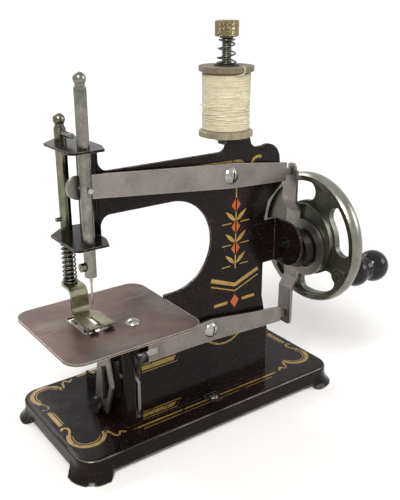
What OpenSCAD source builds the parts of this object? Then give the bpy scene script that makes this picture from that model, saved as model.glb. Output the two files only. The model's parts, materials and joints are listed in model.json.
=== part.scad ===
// Toy sewing machine of pressed sheet metal, turned by hand.
// Millimetres. X runs to the handwheel end, -Y is the front, Z is up.
// The modules work from the middle of the base in X, the front of the frame
// plate in Y and the top of the base in Z; in_frame() moves them to the origin
// at the middle of the outer box's underside.

/* [Base] */
// Length of the base
base_length = 167; // [158:1:182]
// Width of the base
base_width = 80; // [74:1:92]
// Height of the base's top above the floor
base_height = 12; // [10:0.5:15]
// Sheet thickness of the base
base_sheet = 1.2; // [0.8:0.1:1.6]
// Corner radius of the base in plan
base_corner = 10; // [8:0.5:13]
// Radius of the base's pressed top edge
base_edge = 1.8; // [1.6:0.1:3]
// Height of the arches between the feet
arch_height = 3.2; // [2:0.2:4.4]
// Length of a foot along each side
foot_length = 16; // [14.5:0.5:22]
// How far the feet flare outwards
foot_flare = 3.8; // [2.6:0.2:4.6]
// Height over which the feet flare
flare_height = 8; // [7:0.25:8.6]

/* [Frame plate] */
// Height of the arm's top above the base
arm_rise = 137.7; // [134:0.1:142]
// Sheet thickness of the frame plate
sheet = 1.2; // [0.9:0.1:1.5]
// Distance from the base's middle forward to the plate's front
plate_ahead = 24.7; // [22:0.5:27]
// Left end of the bed, from the base's middle
bed_left = 51; // [50:0.25:52]
// Right end of the pillar's foot, from the base's middle
pillar_foot = 43.4; // [42:0.2:45]
// Right edge of the pillar at its waist
pillar_waist = 38.6; // [36:0.2:40]
// Height of the pillar's straight foot
pillar_foot_height = 30; // [24:1:34]
// Centre of the throat, left of the base's middle
throat_left = 21.3; // [18:0.3:24]
// Lift of the throat's lower edge above the cloth plate
throat_lift = 1.1; // [0.6:0.1:1.6]
// Depth of the arm from its lower to its upper edge
arm_depth = 20.6; // [19:0.2:23]
// Distance from the bars' axis to the head flange
head_gap = 8.5; // [7.7:0.1:9.5]
// Depth of the head flange behind the plate's front
head_depth = 19.4; // [16:0.4:22]
// Rise of the upper lug above the arm
upper_lug_rise = 12.9; // [11.5:0.1:14]
// Drop of the lower lug below the arm
lower_lug_drop = 9.2; // [8.4:0.1:10.6]
// Reach of the lugs to the left of the bars
lug_reach = 9; // [8:0.25:10.5]
// Reach of the lugs in front of the needle bar
lug_front = 5.9; // [5:0.1:7]
// Radius of the lugs' front corner
lug_corner = 3; // [2:0.25:4]
// Middle of the round hump over the pillar
hump_middle = 38.6; // [37:0.2:40]
// Radius of the round hump
hump_radius = 9.6; // [8:0.2:10.4]
// Radius of the fillets between the arm and the head
head_fillet = 5; // [3:0.25:6]
// Left edge of the spool tab
tab_left = 11.8; // [10:0.2:12.4]
// Width of the spool tab
tab_width = 15.8; // [15:0.2:18]
// Rise of the spool tab above the arm
tab_rise = 5.4; // [4.2:0.2:6.6]
// Radius of the fold of the tab, head and end wall
fold_radius = 1.6; // [0.5:0.1:2]
// Left face of the bearing ear
ear_left = 46.5; // [45.6:0.1:46.9]
// Radius of the bearing ear
ear_radius = 12.4; // [10:0.2:13]
// Depth of the end wall behind the plate's front
wall_depth = 44.7; // [40:0.5:48]
// Height of the end wall at its back
wall_back_height = 13; // [8:0.5:16]
// Radius of the end wall's hollow back edge
wall_hollow = 24; // [21:0.5:26]
// Depth of the right-hand gusset
gusset_depth = 40; // [37:0.5:46]

/* [Cloth plate] */
// Height of the cloth plate's top above the base
table_rise = 68; // [67:0.25:69]
// Length of the cloth plate
table_length = 69; // [64:0.5:74]
// Width of the cloth plate
table_width = 62.6; // [58:0.6:68]
// Thickness of the cloth plate
table_sheet = 1.2; // [0.9:0.1:1.5]
// Corner radius of the cloth plate
table_corner = 8; // [6:0.5:12]
// Reach of the cloth plate to the left of the bars
table_beyond = 26.5; // [23.5:0.5:28.5]
// Front edge of the cloth plate, ahead of the frame plate
table_front = 36.3; // [33:0.5:40]
// Width of the opening under the presser foot
opening_width = 13; // [12.6:0.1:14]
// Length of the opening under the presser foot
opening_length = 20.6; // [19:0.2:24]
// Reach of the opening to the left of the bars
opening_beyond = 7.9; // [7.5:0.1:8.5]
// Front edge of the opening, ahead of the frame plate
opening_front = 13.5; // [12:0.25:15]
// Place of the cloth plate's screw, left of the base's middle
table_screw_left = 53.5; // [52:0.25:55]
// Place of the cloth plate's screw, ahead of the frame plate
table_screw_front = 14.5; // [12:0.5:17]
// Radius of the cloth plate's screw head
table_screw_radius = 3.5; // [2.6:0.1:4]

/* [Needle bar] */
// Axis of both bars, left of the base's middle
bars_left = 69.5; // [69:0.1:70]
// Axis of the needle bar ahead of the frame plate
needle_ahead = 6.3; // [6.3:0.1:7]
// Diameter of the needle bar
needle_bar_diameter = 5.5; // [4.5:0.1:5.6]
// Height of the needle bar's ball above the upper lug
needle_ball_rise = 28.8; // [26:0.2:32]
// Diameter of the ball on a bar
ball_diameter = 5.6; // [4.8:0.1:6.4]
// Diameter of the neck under a ball
neck_diameter = 4.3; // [3.4:0.1:4.4]
// Distance from a ball's centre down to the bar's shoulder
neck_drop = 3.3; // [2.6:0.1:4.4]
// Height of the needle's point above the cloth plate at rest
needle_lift = 9.5; // [9:0.1:10]
// Diameter of the needle's shank
needle_shank = 1.6; // [1.2:0.1:1.8]
// Diameter of the needle's blade
needle_blade = 1.0; // [0.7:0.1:1.2]
// Length of needle below the bar
needle_length = 14.7; // [14:0.1:15.6]
// Height of the clamp screw above the bar's lower end
clamp_rise = 5.1; // [4:0.1:6]
// Radius of the clamp screw's head
clamp_head = 2; // [1.4:0.1:2.2]
// Diameter of the pin that the upper lever drives
needle_pin = 2.2; // [1.6:0.1:2.6]

/* [Presser] */
// Axis of the presser bar behind the plate's front
presser_behind = 16.1; // [15:0.1:17]
// Diameter of the presser bar
presser_bar_diameter = 5.5; // [5:0.1:5.6]
// Diameter of the presser bar inside its spring
presser_stem = 4.2; // [3.6:0.1:4.4]
// Distance of the foot's upright strap ahead of the bar's axis
foot_ahead = 8.1; // [7.6:0.1:8.6]
// Height of the presser bar's ball above the upper lug
presser_ball_rise = 9.1; // [8.6:0.1:12]
// Height of the lift pin above the upper lug
lift_pin_rise = 3.6; // [3:0.1:4]
// Diameter of the lift pin
lift_pin_diameter = 2.7; // [2:0.1:3]
// Reach of the lift pin from the bar's axis
lift_pin_reach = 12.2; // [8:0.2:14]
// Height of the stud above the lower lug
stud_rise = 6; // [5:0.2:10]
// Diameter of the stud
stud_diameter = 2; // [1.4:0.1:2.6]
// Reach of the stud from the bar's axis
stud_reach = 5; // [4:0.1:7]
// Gap from the presser foot down to the cloth plate
foot_gap = 0.7; // [0.5:0.1:0.9]
// Thickness of the presser foot's strap
foot_strap = 1.4; // [1:0.1:1.5]
// Width of the presser foot's sole
foot_width = 13; // [11:0.5:14]
// Width of the presser foot's neck
foot_neck = 8.8; // [7:0.2:9.6]
// Length over which the sole widens from the neck
foot_spread = 2.5; // [1.5:0.25:4]
// Inner radius of the presser foot's bends
foot_bend = 2.6; // [2:0.2:3]
// Front end of the flat sole, ahead of the needle
foot_reach = 4.8; // [4:0.2:6]
// Width of the slot between the toes
foot_slot = 2.6; // [2.2:0.1:3.2]
// Radius of the presser foot's round top plate
collar_radius = 4.4; // [4:0.1:4.8]
// Top of the presser foot's top plate above the cloth plate
collar_top = 13.8; // [12.4:0.2:15]
// Wire diameter of the presser spring
presser_wire = 0.9; // [0.7:0.05:1]
// Curls of the presser spring
presser_curls = 11; // [8:1:12]
// Wire diameter of the tension spring
tension_wire = 0.9; // [0.7:0.05:1.1]
// Curls of the tension spring
tension_curls = 3; // [2:1:4]

/* [Levers and link] */
// Thickness of the levers
lever_sheet = 1.5; // [1.2:0.1:1.5]
// Thickness of the washers between the levers and the plate
washer_thickness = 1.6; // [1.6:0.1:2]
// Pivot of the upper lever, right of the base's middle
upper_pivot_right = 13.1; // [12:0.1:14]
// Pivot of the upper lever above the arm's lower edge
upper_pivot_rise = 8.4; // [8:0.1:9]
// Tilt of the upper lever at rest
upper_tilt = 5.06; // [4.6:0.02:5.4]
// Half height of the upper lever at its pivot
upper_half_pivot = 6.4; // [5.4:0.1:7]
// Half height of the upper lever at its needle end
upper_half_left = 5.3; // [3.6:0.1:5.6]
// Half height of the upper lever at its link end
upper_half_right = 5; // [3:0.1:5.4]
// Pivot of the lower lever, right of the base's middle
lower_pivot_right = 1.2; // [0.6:0.1:1.8]
// Pivot of the lower lever above the base
lower_pivot_rise = 42.7; // [42:0.1:43.4]
// Tilt of the lower lever's tail at rest
lower_tilt = 5.4; // [5:0.02:5.8]
// Half height of the lower lever at its pivot
lower_half_pivot = 6.2; // [5.2:0.1:7]
// Half height of the lower lever at its left end
lower_half_left = 4.9; // [4.2:0.1:5.4]
// Half height of the lower lever at its link end
lower_half_right = 4.5; // [3:0.1:5]
// Reach of the lower lever to the left of its pivot
lower_reach = 39.7; // [39:0.1:40.2]
// Drop of the lower lever's left end below its pivot
lower_drop = 1.15; // [0.6:0.05:1.8]
// Height of the tails of both levers
tail_height = 4; // [3:0.1:4.6]
// Right end of both tails, from the base's middle
tail_end = 58; // [57:0.1:58.4]
// Diameter of the pivot screws' shanks
pivot_diameter = 4; // [3:0.1:4.4]
// Radius of the pivot screws' heads
pivot_head_radius = 4.3; // [3.4:0.1:4.8]
// Height of the pivot screws' heads
pivot_head_height = 2; // [1.4:0.1:2.4]
// Left face of the link's two ends
link_left = 54.5; // [54.2:0.1:54.8]
// Thickness of the link
link_sheet = 1.5; // [1.2:0.1:1.5]
// Width of the link's strip
link_width = 10.2; // [9:0.2:11]
// Middle of the strip, ahead of the frame plate
link_ahead = 1.7; // [1.4:0.1:2.2]
// Sideways step of the link at its ring
link_step = 3.7; // [3.6:0.05:3.8]
// Outer radius of the link's ring
ring_radius = 16; // [15:0.25:17]
// Bore radius of the link's ring
ring_bore = 11.4; // [11:0.1:12]

/* [Drive] */
// Main shaft ahead of the frame plate
shaft_ahead = 8.9; // [8.6:0.1:9.2]
// Main shaft above the base
shaft_rise = 84.1; // [83.6:0.1:84.6]
// Diameter of the main shaft
shaft_diameter = 6; // [5:0.1:6.4]
// Diameter of the shaft's journal in the ear
journal_diameter = 3.8; // [3.4:0.1:4.6]
// How far the shaft's end stands out of the ear
shaft_stub = 3.2; // [1.5:0.1:4]
// Throw of the eccentric
throw = 4.6; // [4.2:0.05:4.65]
// Angle of the eccentric from its lowest point at rest
rest_angle = 12; // [10:0.5:14]
// Radius of the eccentric
eccentric_radius = 10.1; // [9:0.1:10.3]
// Left face of the eccentric
eccentric_left = 52.2; // [52:0.1:53]
// Greatest radius of the handwheel
wheel_radius = 36.6; // [36:0.1:37.6]
// Radial thickness of the handwheel's rim
rim_thickness = 4.3; // [4:0.1:4.6]
// Width of the handwheel's rim
rim_width = 7.6; // [6.6:0.2:8]
// Radius of the rim's rounded outside
rim_round = 5.2; // [5:0.05:5.6]
// Radius of the handwheel's raised hub
hub_radius = 19.8; // [18:0.2:20.6]
// Thickness of the handwheel's web
web_thickness = 3.2; // [2.4:0.1:4]
// Middle radius of the handwheel's openings
cutout_middle = 26.4; // [26.2:0.1:26.8]
// Radial height of the handwheel's openings
cutout_height = 11; // [9:0.2:11.4]
// Angle that each opening spans, without its round ends
cutout_span = 35; // [28:1:40]
// Turn of the first opening, from the front upwards
cutout_turn = 21; // [15:1:27]
// Distance of the crank from the shaft
crank_radius = 29; // [28:0.1:29.6]
// Turn of the crank below the wheel's front
crank_turn = 32; // [26:1:34]
// Diameter of the crank pin
crank_pin_diameter = 4; // [3:0.1:5]
// Radius of the boss that holds the crank pin
crank_boss_radius = 4.4; // [3.8:0.1:5]
// Radius of the knob's ball
knob_radius = 8.8; // [8.4:0.1:9.4]
// Length of the knob from its foot to its flat end
knob_length = 28.2; // [27:0.2:29.6]
// Radius of the round foot of the knob
knob_foot = 8.2; // [7.4:0.1:8.6]
// Radius of the knob's waist
knob_waist = 6.5; // [5.6:0.1:7]

/* [Looper] */
// Looper shaft behind the plate's front
looper_behind = 21.3; // [20.9:0.1:21.7]
// Looper shaft above the base
looper_rise = 5.5; // [5.4:0.1:5.8]
// Diameter of the looper shaft
looper_shaft_diameter = 4.4; // [3.6:0.1:4.6]
// Thickness of the looper arms
looper_sheet = 1.4; // [1.1:0.1:1.5]
// Half width of the drive arm's fork
fork_half = 4.2; // [4:0.05:4.5]
// Length of the fork beyond the drive pin
fork_beyond = 7; // [5:0.25:8]
// Free length of the drive pin between the lever and the drive arm
pin_free = 4.5; // [4:0.1:5]
// Diameter of the lever's drive pin
drive_pin = 3; // [2.4:0.1:3.2]
// Distance of the looper bar ahead of the looper shaft
looper_bar_ahead = 9.7; // [9.4:0.1:10]
// Height of the looper bar above the looper shaft
looper_bar_rise = 51; // [50.5:0.1:51.4]
// Diameter of the looper bar
looper_bar_diameter = 2.6; // [2:0.1:3]
// Thickness of the looper hook
hook_sheet = 1.4; // [1:0.1:1.5]
// Width of the feed dog
dog_width = 3.4; // [2.4:0.1:3.8]
// Length of the feed dog's toothed top
dog_length = 6; // [5:0.2:6.4]

/* [Spool] */
// Axis of the spool behind the plate's front
spool_behind = 10.7; // [10:0.1:12]
// Radius of the spool's flanges
spool_radius = 13.9; // [13:0.1:14.6]
// Height of the spool
spool_height = 34.6; // [32:0.2:38]
// Thickness of the spool's flanges at their edge
spool_flange = 2.4; // [1.8:0.1:2.8]
// Radius of the spool's barrel
spool_barrel = 8; // [7:0.1:9]
// Radius of the thread over its winding
thread_radius = 12.4; // [11.5:0.1:12.8]
// Diameter of the thread
thread_diameter = 0.5; // [0.4:0.02:0.52]
// Turns of thread in the outer layer
thread_turns = 22; // [16:1:22]
// Diameter of the spool pin
spool_pin_diameter = 5; // [4:0.1:5.2]
// Height of the tension spring
tension_height = 11.8; // [10.8:0.2:13]
// Radius of the thumb nut
nut_radius = 6.1; // [5:0.1:7]
// Height of the thumb nut's knurled part
nut_height = 7.6; // [6:0.2:9]
// Height of the thumb nut's neck
nut_neck = 0.8; // [0.6:0.1:1.6]
// Grooves of the knurl
nut_grooves = 30; // [20:1:36]

/* [Fits] */
// Radial clearance of turning and sliding shafts in their bores
run_gap = 0.05; // [0.03:0.01:0.08]
// Radial gap of pressed pins and screws in their holes
press_gap = 0.02; // [0.01:0.01:0.04]
// Play along an axis between a lever and its neighbours
end_gap = 0.1; // [0.1:0.02:0.14]
// Side gap between moving pieces
side_gap = 0.3; // [0.25:0.05:0.35]
// Play of pins and tails in their slots
slot_gap = 0.4; // [0.3:0.02:0.45]

/* [Hidden] */
$fn = 64;
enamel = "#1d1113";
tin = "#8d8478";
bare_steel = "#a9a7a1";
nickel = "#bdbbaf";
brass = "#a98f55";
wood_tone = "#8a7a66";
cream = "#e6dcc3";
black = "#121214";

shaft_y = -shaft_ahead;
needle_y = -needle_ahead;
bars_x = -bars_left;
head_left = bars_left - head_gap;
table_left = bars_left + table_beyond;
opening_left = bars_left + opening_beyond;
needle_bar_radius = needle_bar_diameter / 2;
presser_bar_radius = presser_bar_diameter / 2;
presser_stem_radius = presser_stem / 2;
table_under = table_rise - table_sheet;
table_right = -table_left + table_length;
arm_top = arm_rise;
arm_low = arm_top - arm_depth;
throat_radius = (arm_low - table_rise - throat_lift) / 2;
throat_z = arm_low - throat_radius;
upper_lug = arm_top + upper_lug_rise;
lower_lug = arm_low - lower_lug_drop;
upper_pivot_z = arm_low + upper_pivot_rise;
lever_back = -washer_thickness - end_gap;
lever_front = lever_back - lever_sheet;
lever_middle = (lever_back + lever_front) / 2;
tab_top = arm_top + tab_rise;
spool_x = tab_left + tab_width / 2;
spool_low = tab_top + side_gap;
spool_top = spool_low + spool_height;
tension_low = spool_top + side_gap;
tension_washer_height = 0.6;
tension_top = tension_low + tension_washer_height + tension_height;
nut_low = tension_top + side_gap;
nut_top = nut_low + nut_neck + nut_height;

link_middle = link_left + link_sheet / 2;
link_y = -link_ahead;
upper_tail_z = upper_pivot_z - (link_middle - upper_pivot_right) * tan(upper_tilt);
lower_tail_z = lower_pivot_rise - (link_middle - lower_pivot_right) * tan(lower_tilt);
ring_left = link_left + link_step;
ring_y = shaft_y - throw * sin(rest_angle);
ring_z = shaft_rise - throw * cos(rest_angle);
eccentric_right = ring_left - slot_gap;
sweep = eccentric_radius + throw + side_gap;
link_ring_low = shaft_rise - sweep - 2 * throw;
link_ring_top = shaft_rise + sweep + throw * (1 - cos(rest_angle));

hub_left = ring_left + link_sheet + slot_gap + end_gap;
rim_left = hub_left + 1;
rim_middle = rim_left + rim_width / 2;
rim_inner = wheel_radius - rim_thickness;
web_left = rim_middle - web_thickness / 2;
hub_right = rim_left + rim_width + 2.2;
crank_angle = -crank_turn;
crank_y = shaft_y - crank_radius * cos(crank_angle);
crank_z = shaft_rise + crank_radius * sin(crank_angle);
crank_boss_right = rim_left + rim_width + 0.6;
knob_left = crank_boss_right + side_gap;
knob_right = knob_left + knob_length;
crank_head_height = 1.1;
crank_head_left = knob_right + end_gap;
right_end = crank_head_left + crank_head_height;

needle_ball_z = upper_lug + needle_ball_rise;
needle_low = table_rise + needle_lift;
needle_bar_low = needle_low + needle_length;
needle_pin_z = upper_pivot_z + (bars_left + upper_pivot_right) * tan(upper_tilt);
clamp_z = needle_bar_low + clamp_rise;
presser_ball_z = upper_lug + presser_ball_rise;
sole_low = table_rise + foot_gap;
collar_z = table_rise + collar_top;
presser_bar_low = collar_z - foot_strap - 1.2;
spring_top = lower_lug - sheet;

drive_pin_z = lower_pivot_rise - lower_drop;
drive_pin_y = lever_middle;
lower_left = lower_pivot_right - lower_reach;
drive_arm_left = lower_left - pin_free - looper_sheet;
fork_angle = atan2(drive_pin_z - looper_rise, drive_pin_y - looper_behind);
fork_length = norm([drive_pin_y - looper_behind, drive_pin_z - looper_rise]);
looper_arm_right = -bed_left - 3;
looper_arm_left = looper_arm_right - looper_sheet;
looper_bar_z = looper_rise + looper_bar_rise;
looper_bar_y = looper_behind - looper_bar_ahead;
hook_left = bars_x + needle_shank / 2 + side_gap;
dog_left = -opening_left + 1.4;
left_end = max(table_left, -bars_x + lug_reach);

front_reach = shaft_ahead + wheel_radius;
back_end = plate_ahead + base_width / 2 + foot_flare;
shift_x = (left_end - right_end) / 2;
shift_y = (front_reach - back_end) / 2;

// Moves a piece from the working corner to the shared origin
module in_frame() {
  translate([shift_x, shift_y, base_height]) children();
}

// A flat piece drawn in X and Z, standing from y0 back by t
module upright(y0, t) {
  translate([0, y0 + t, 0]) rotate([90, 0, 0]) linear_extrude(t) children();
}

// A flat piece drawn in Y and Z, lying from x0 to the right by t
module sideways(x0, t) {
  translate([x0, 0, 0]) rotate([90, 0, 90]) linear_extrude(t) children();
}

module rod_x(r, x0, x1, y, z) {
  translate([x0, y, z]) rotate([0, 90, 0]) cylinder(r = r, h = x1 - x0);
}

module rod_y(r, y0, y1, x, z) {
  translate([x, y1, z]) rotate([90, 0, 0]) cylinder(r = r, h = y1 - y0);
}

module rod_z(r, z0, z1, x, y) {
  translate([x, y, z0]) cylinder(r = r, h = z1 - z0);
}

module block(low, high) {
  translate(low) cube(high - low);
}

module round_rectangle(l, w, r) {
  square([l - 2 * r, w], center = true);
  square([l, w - 2 * r], center = true);
  for (sx = [-1, 1])
    for (sy = [-1, 1])
      translate([sx * (l / 2 - r), sy * (w / 2 - r)]) circle(r);
}

// The hollow corner left between two straight edges, filled by a fillet
module fillet_corner(r, sx, sy) {
  difference() {
    translate([sx > 0 ? 0 : -r, sy > 0 ? 0 : -r]) square(r);
    translate([sx * r, sy * r]) circle(r);
  }
}

// What is cut from an outer corner to round it, along Z; sx and sy point outwards
module corner_cut(r, sx, sy, z0, z1) {
  translate([0, 0, z0]) linear_extrude(z1 - z0) difference() {
    translate([sx > 0 ? -r : -0.5, sy > 0 ? -r : -0.5]) square(r + 0.5);
    translate([-sx * r, -sy * r]) circle(r);
  }
}

// A domed head with a slot, its seat at z = 0, pointing up
module slotted_dome(r, h, turn) {
  ball = (r * r + h * h) / (2 * h);
  difference() {
    intersection() {
      translate([0, 0, h - ball]) sphere(ball);
      cylinder(r = r + 1, h = h + 1);
    }
    rotate([0, 0, turn]) translate([-r - 1, -0.4, h * 0.55]) cube([2 * r + 2, 0.8, h]);
  }
}

// Points of a coil on a cone from r0 to r1: straight ends, quarter bends, then curls
function coil_flat(height, curls, rings, wire, r) =
  let (bend = 1.1 * wire, climb = height - 2 * wire - 2 * bend)
  let (run = 360 * curls, first = bend / r * 180 / PI)
  concat(
    [[0, 0], [0, wire]],
    [for (k = [1:3]) [first * (1 - cos(30 * k)), wire + bend * sin(30 * k)]],
    [for (k = [1:curls * rings])
      [first + run * k / (curls * rings), wire + bend + climb * k / (curls * rings)]],
    [for (k = [1:3]) [first + run + first * sin(30 * k), wire + bend + climb + bend * (1 - cos(30 * k))]],
    [[2 * first + run, height]]
  );
function coil_path(flat, height, r0, r1) =
  [for (p = flat) let (r = r0 + (r1 - r0) * p[1] / height) [r * cos(p[0]), r * sin(p[0]), p[1]]];
function unit(v) = v / norm(v);

// The least distance of a coil's tube from itself, one curl on
function coil_gap(path, rings, wire) =
  min([for (i = [0:len(path) - 1])
    for (j = [i + floor(rings * 0.6):min(len(path) - 1, i + ceil(rings * 1.6))])
      norm(path[j] - path[i])]) - wire;

// One unbroken tube along a coil's path
module coil_tube(path, wire, sides) {
  n = len(path);
  points = [for (i = [0:n - 1])
    let (ahead = path[min(n - 1, i + 1)], behind = path[max(0, i - 1)])
    let (t = unit(ahead - behind), out = unit([path[i][0], path[i][1], 0]))
    let (a = unit(out - (out * t) * t), b = cross(t, a))
    for (k = [0:sides - 1])
      path[i] + wire / 2 * (cos(360 * k / sides) * a + sin(360 * k / sides) * b)];
  walls = [for (i = [0:n - 2]) for (k = [0:sides - 1])
    let (q = i * sides + k, s = i * sides + (k + 1) % sides)
    for (f = [[q, q + sides, s], [s, q + sides, s + sides]]) f];
  ends = [for (k = [1:sides - 2]) for (f = [[0, k, k + 1],
    [(n - 1) * sides, (n - 1) * sides + k + 1, (n - 1) * sides + k]]) f];
  polyhedron(points, concat(walls, ends));
}

// A disc whose upper edge is rounded
module rounded_disc(r, edge, h) {
  difference() {
    cylinder(r = r, h = h);
    translate([0, 0, h - edge]) rotate_extrude() difference() {
      translate([r - edge, 0]) square(edge + 0.5);
      translate([r - edge, 0]) circle(edge);
    }
  }
}

// A bar along X whose two upper edges are rounded
module rounded_bar(l, w, edge, h) {
  difference() {
    block([-l / 2, -w / 2, 0], [l / 2, w / 2, h]);
    for (s = [-1, 1])
      sideways(-l / 2 - 1, l + 2) translate([s * (w / 2 - edge), h - edge]) difference() {
        translate([s > 0 ? 0 : -edge - 0.5, 0]) square(edge + 0.5);
        circle(edge);
      }
  }
}

// The base's outer form, or its hollow when inset by the sheet
module tray(inset) {
  l = base_length - 2 * inset;
  w = base_width - 2 * inset;
  corner = base_corner - inset;
  edge = base_edge - inset;
  low = inset > 0 ? -base_height - 1 : -base_height;
  h = -inset - low;
  translate([0, plate_ahead, low]) {
    rounded_bar(l - 2 * corner, w, edge, h);
    rotate([0, 0, 90]) rounded_bar(w - 2 * corner, l, edge, h);
    for (sx = [-1, 1])
      for (sy = [-1, 1])
        translate([sx * (l / 2 - corner), sy * (w / 2 - corner), 0]) rounded_disc(corner, edge, h);
  }
}

// Inner radius of the bend of a flared foot
flare_bend = (foot_flare * foot_flare + flare_height * flare_height) / (2 * foot_flare);
// How far the bend starts inside the wall, so that the two are not tangent
flare_step = 0.05;

// Section of a flared foot: a strip of the sheet bent outwards, measured from the corner's centre
module foot_section() {
  intersection() {
    translate([base_corner + flare_bend - flare_step, flare_height - base_height]) difference() {
      circle(flare_bend + base_sheet);
      circle(flare_bend);
    }
    translate([base_corner - base_sheet, -base_height]) square([base_sheet + foot_flare + 2, flare_height]);
  }
}

// A foot round the corner at +X and +Y, its two ends mitred
module foot() {
  run = foot_length - base_corner;
  reach = base_corner + foot_flare + 1;
  intersection() {
    union() {
      rotate_extrude(angle = 90) foot_section();
      rotate([90, 0, 0]) linear_extrude(run + 1) foot_section();
      rotate([0, 0, 90]) rotate([90, 0, 0]) mirror([0, 0, 1]) linear_extrude(run + 1) foot_section();
    }
    translate([0, 0, -base_height - 1]) linear_extrude(base_height) polygon([
      [0, -run],
      [base_corner, -run],
      [reach, foot_flare + 1 - run],
      [reach, reach],
      [foot_flare + 1 - run, reach],
      [-run, base_corner],
      [-run, 0]
    ]);
  }
}

screw_spots = [
  [-bed_left + sheet + 5, wall_depth - 14],
  [-bed_left + sheet + 5, wall_depth - 4],
  [pillar_foot - sheet - 5, gusset_depth - 24],
  [pillar_foot - sheet - 5, gusset_depth - 6],
  [2.5, -3.6]
];

module base() color(enamel) in_frame() {
  difference() {
    union() {
      difference() {
        tray(0);
        tray(base_sheet);
        translate([0, plate_ahead, -base_height])
          block([-base_length, -base_width, -1], [base_length, base_width, arch_height]);
      }
      translate([0, plate_ahead, 0])
        for (turn = [[1, 1, 0], [-1, 1, 1], [-1, -1, 0], [1, -1, 1]])
          translate([
            turn[0] * (base_length / 2 - base_corner),
            turn[1] * (base_width / 2 - base_corner),
            0
          ])
            mirror([turn[0] < 0 ? 1 : 0, 0, 0]) mirror([0, turn[1] < 0 ? 1 : 0, 0]) foot();
    }
    for (p = screw_spots)
      rod_z(base_screw_shank + press_gap, -base_sheet - 1, 1, p[0], p[1]);
  }
}

base_screw_shank = 1.5;
base_screw_head = 2.6;
base_screw_dome = 1.5;
base_screw_end = 3.4;
base_nut_radius = 3;
base_nut_height = 2.2;

module base_screws() color(nickel) in_frame() {
  for (p = screw_spots)
    translate([p[0], p[1], sheet]) {
      slotted_dome(base_screw_head, base_screw_dome, 35);
      translate([0, 0, -sheet - base_sheet - base_screw_end])
        cylinder(r = base_screw_shank, h = sheet + base_sheet + base_screw_end);
    }
}

module base_nuts() color(nickel) in_frame() {
  for (p = screw_spots)
    translate([p[0], p[1], -base_sheet - base_nut_height])
      difference() {
        cylinder(r = base_nut_radius, h = base_nut_height, $fn = 6);
        translate([0, 0, -1]) cylinder(r = base_screw_shank + press_gap, h = base_nut_height + 2);
      }
}

module plate_outline() {
  difference() {
    union() {
      polygon([
        [-bed_left, 0],
        [pillar_foot, 0],
        [pillar_foot, pillar_foot_height],
        [pillar_waist, pillar_foot_height + 22],
        [pillar_waist, shaft_rise + ear_radius],
        [pillar_waist + 2.4, arm_low - 10],
        [hump_middle + 12, arm_low - 1.7],
        [hump_middle + hump_radius, arm_top - 9],
        [hump_middle, arm_top - 9 + hump_radius - 0.6],
        [hump_middle - 7, arm_top],
        [-head_left, arm_top],
        [-head_left, table_under],
        [-bed_left, table_under]
      ]);
      translate([hump_middle, arm_top - 9]) circle(hump_radius);
      translate([pillar_waist - 4, shaft_rise - ear_radius])
        square([ear_left + sheet - pillar_waist + 4, 2 * ear_radius]);
      translate([tab_left, arm_top - 3]) square([tab_width, 3 + tab_rise]);
      translate([tab_left, arm_top]) fillet_corner(tab_rise - sheet, -1, 1);
      translate([tab_left + tab_width, arm_top]) fillet_corner(tab_rise - sheet, 1, 1);
      translate([sheet - head_left, arm_top]) fillet_corner(head_fillet, 1, 1);
    }
    translate([-throat_left, throat_z]) circle(throat_radius);
    translate([-head_left - 1, throat_z - throat_radius])
      square([head_left + 1 - throat_left, 2 * throat_radius]);
    translate([-head_left - 1, table_under])
      square([head_left + 1 + table_right + slot_gap, throat_z - table_under]);
  }
  translate([sheet - head_left, arm_low]) fillet_corner(head_fillet, 1, -1);
}

module lug(top) {
  left = bars_x - lug_reach;
  front = needle_y - lug_front;
  difference() {
    translate([0, 0, top - sheet]) linear_extrude(sheet) difference() {
      polygon([
        [sheet - head_left, presser_behind + 5.3],
        [bars_x + 1, presser_behind + 6.4],
        [left, presser_behind - 2],
        [left, front],
        [bars_x + 7, front],
        [sheet - head_left, needle_y + 1.7]
      ]);
      translate([bars_x, needle_y]) circle(needle_bar_radius + run_gap);
      translate([bars_x, presser_behind]) circle(presser_bar_radius + run_gap);
    }
    translate([left, front, 0]) corner_cut(lug_corner, -1, -1, top - sheet - 1, top + 1);
  }
}

module end_wall() {
  sideways(-bed_left, sheet) difference() {
    polygon([
      [0, 0],
      [wall_depth, 0],
      [wall_depth, wall_back_height],
      [26, wall_back_height + 31],
      [26, table_under],
      [0, table_under]
    ]);
    translate([wall_depth + 2, wall_back_height + wall_hollow]) circle(wall_hollow);
    translate([looper_behind, looper_rise]) circle(looper_shaft_diameter / 2 + 1 + press_gap);
    translate([rivet_y, rivet_z]) circle(0.9 + press_gap);
  }
}
rivet_y = sheet + 2.2;
rivet_z = 30;

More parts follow.
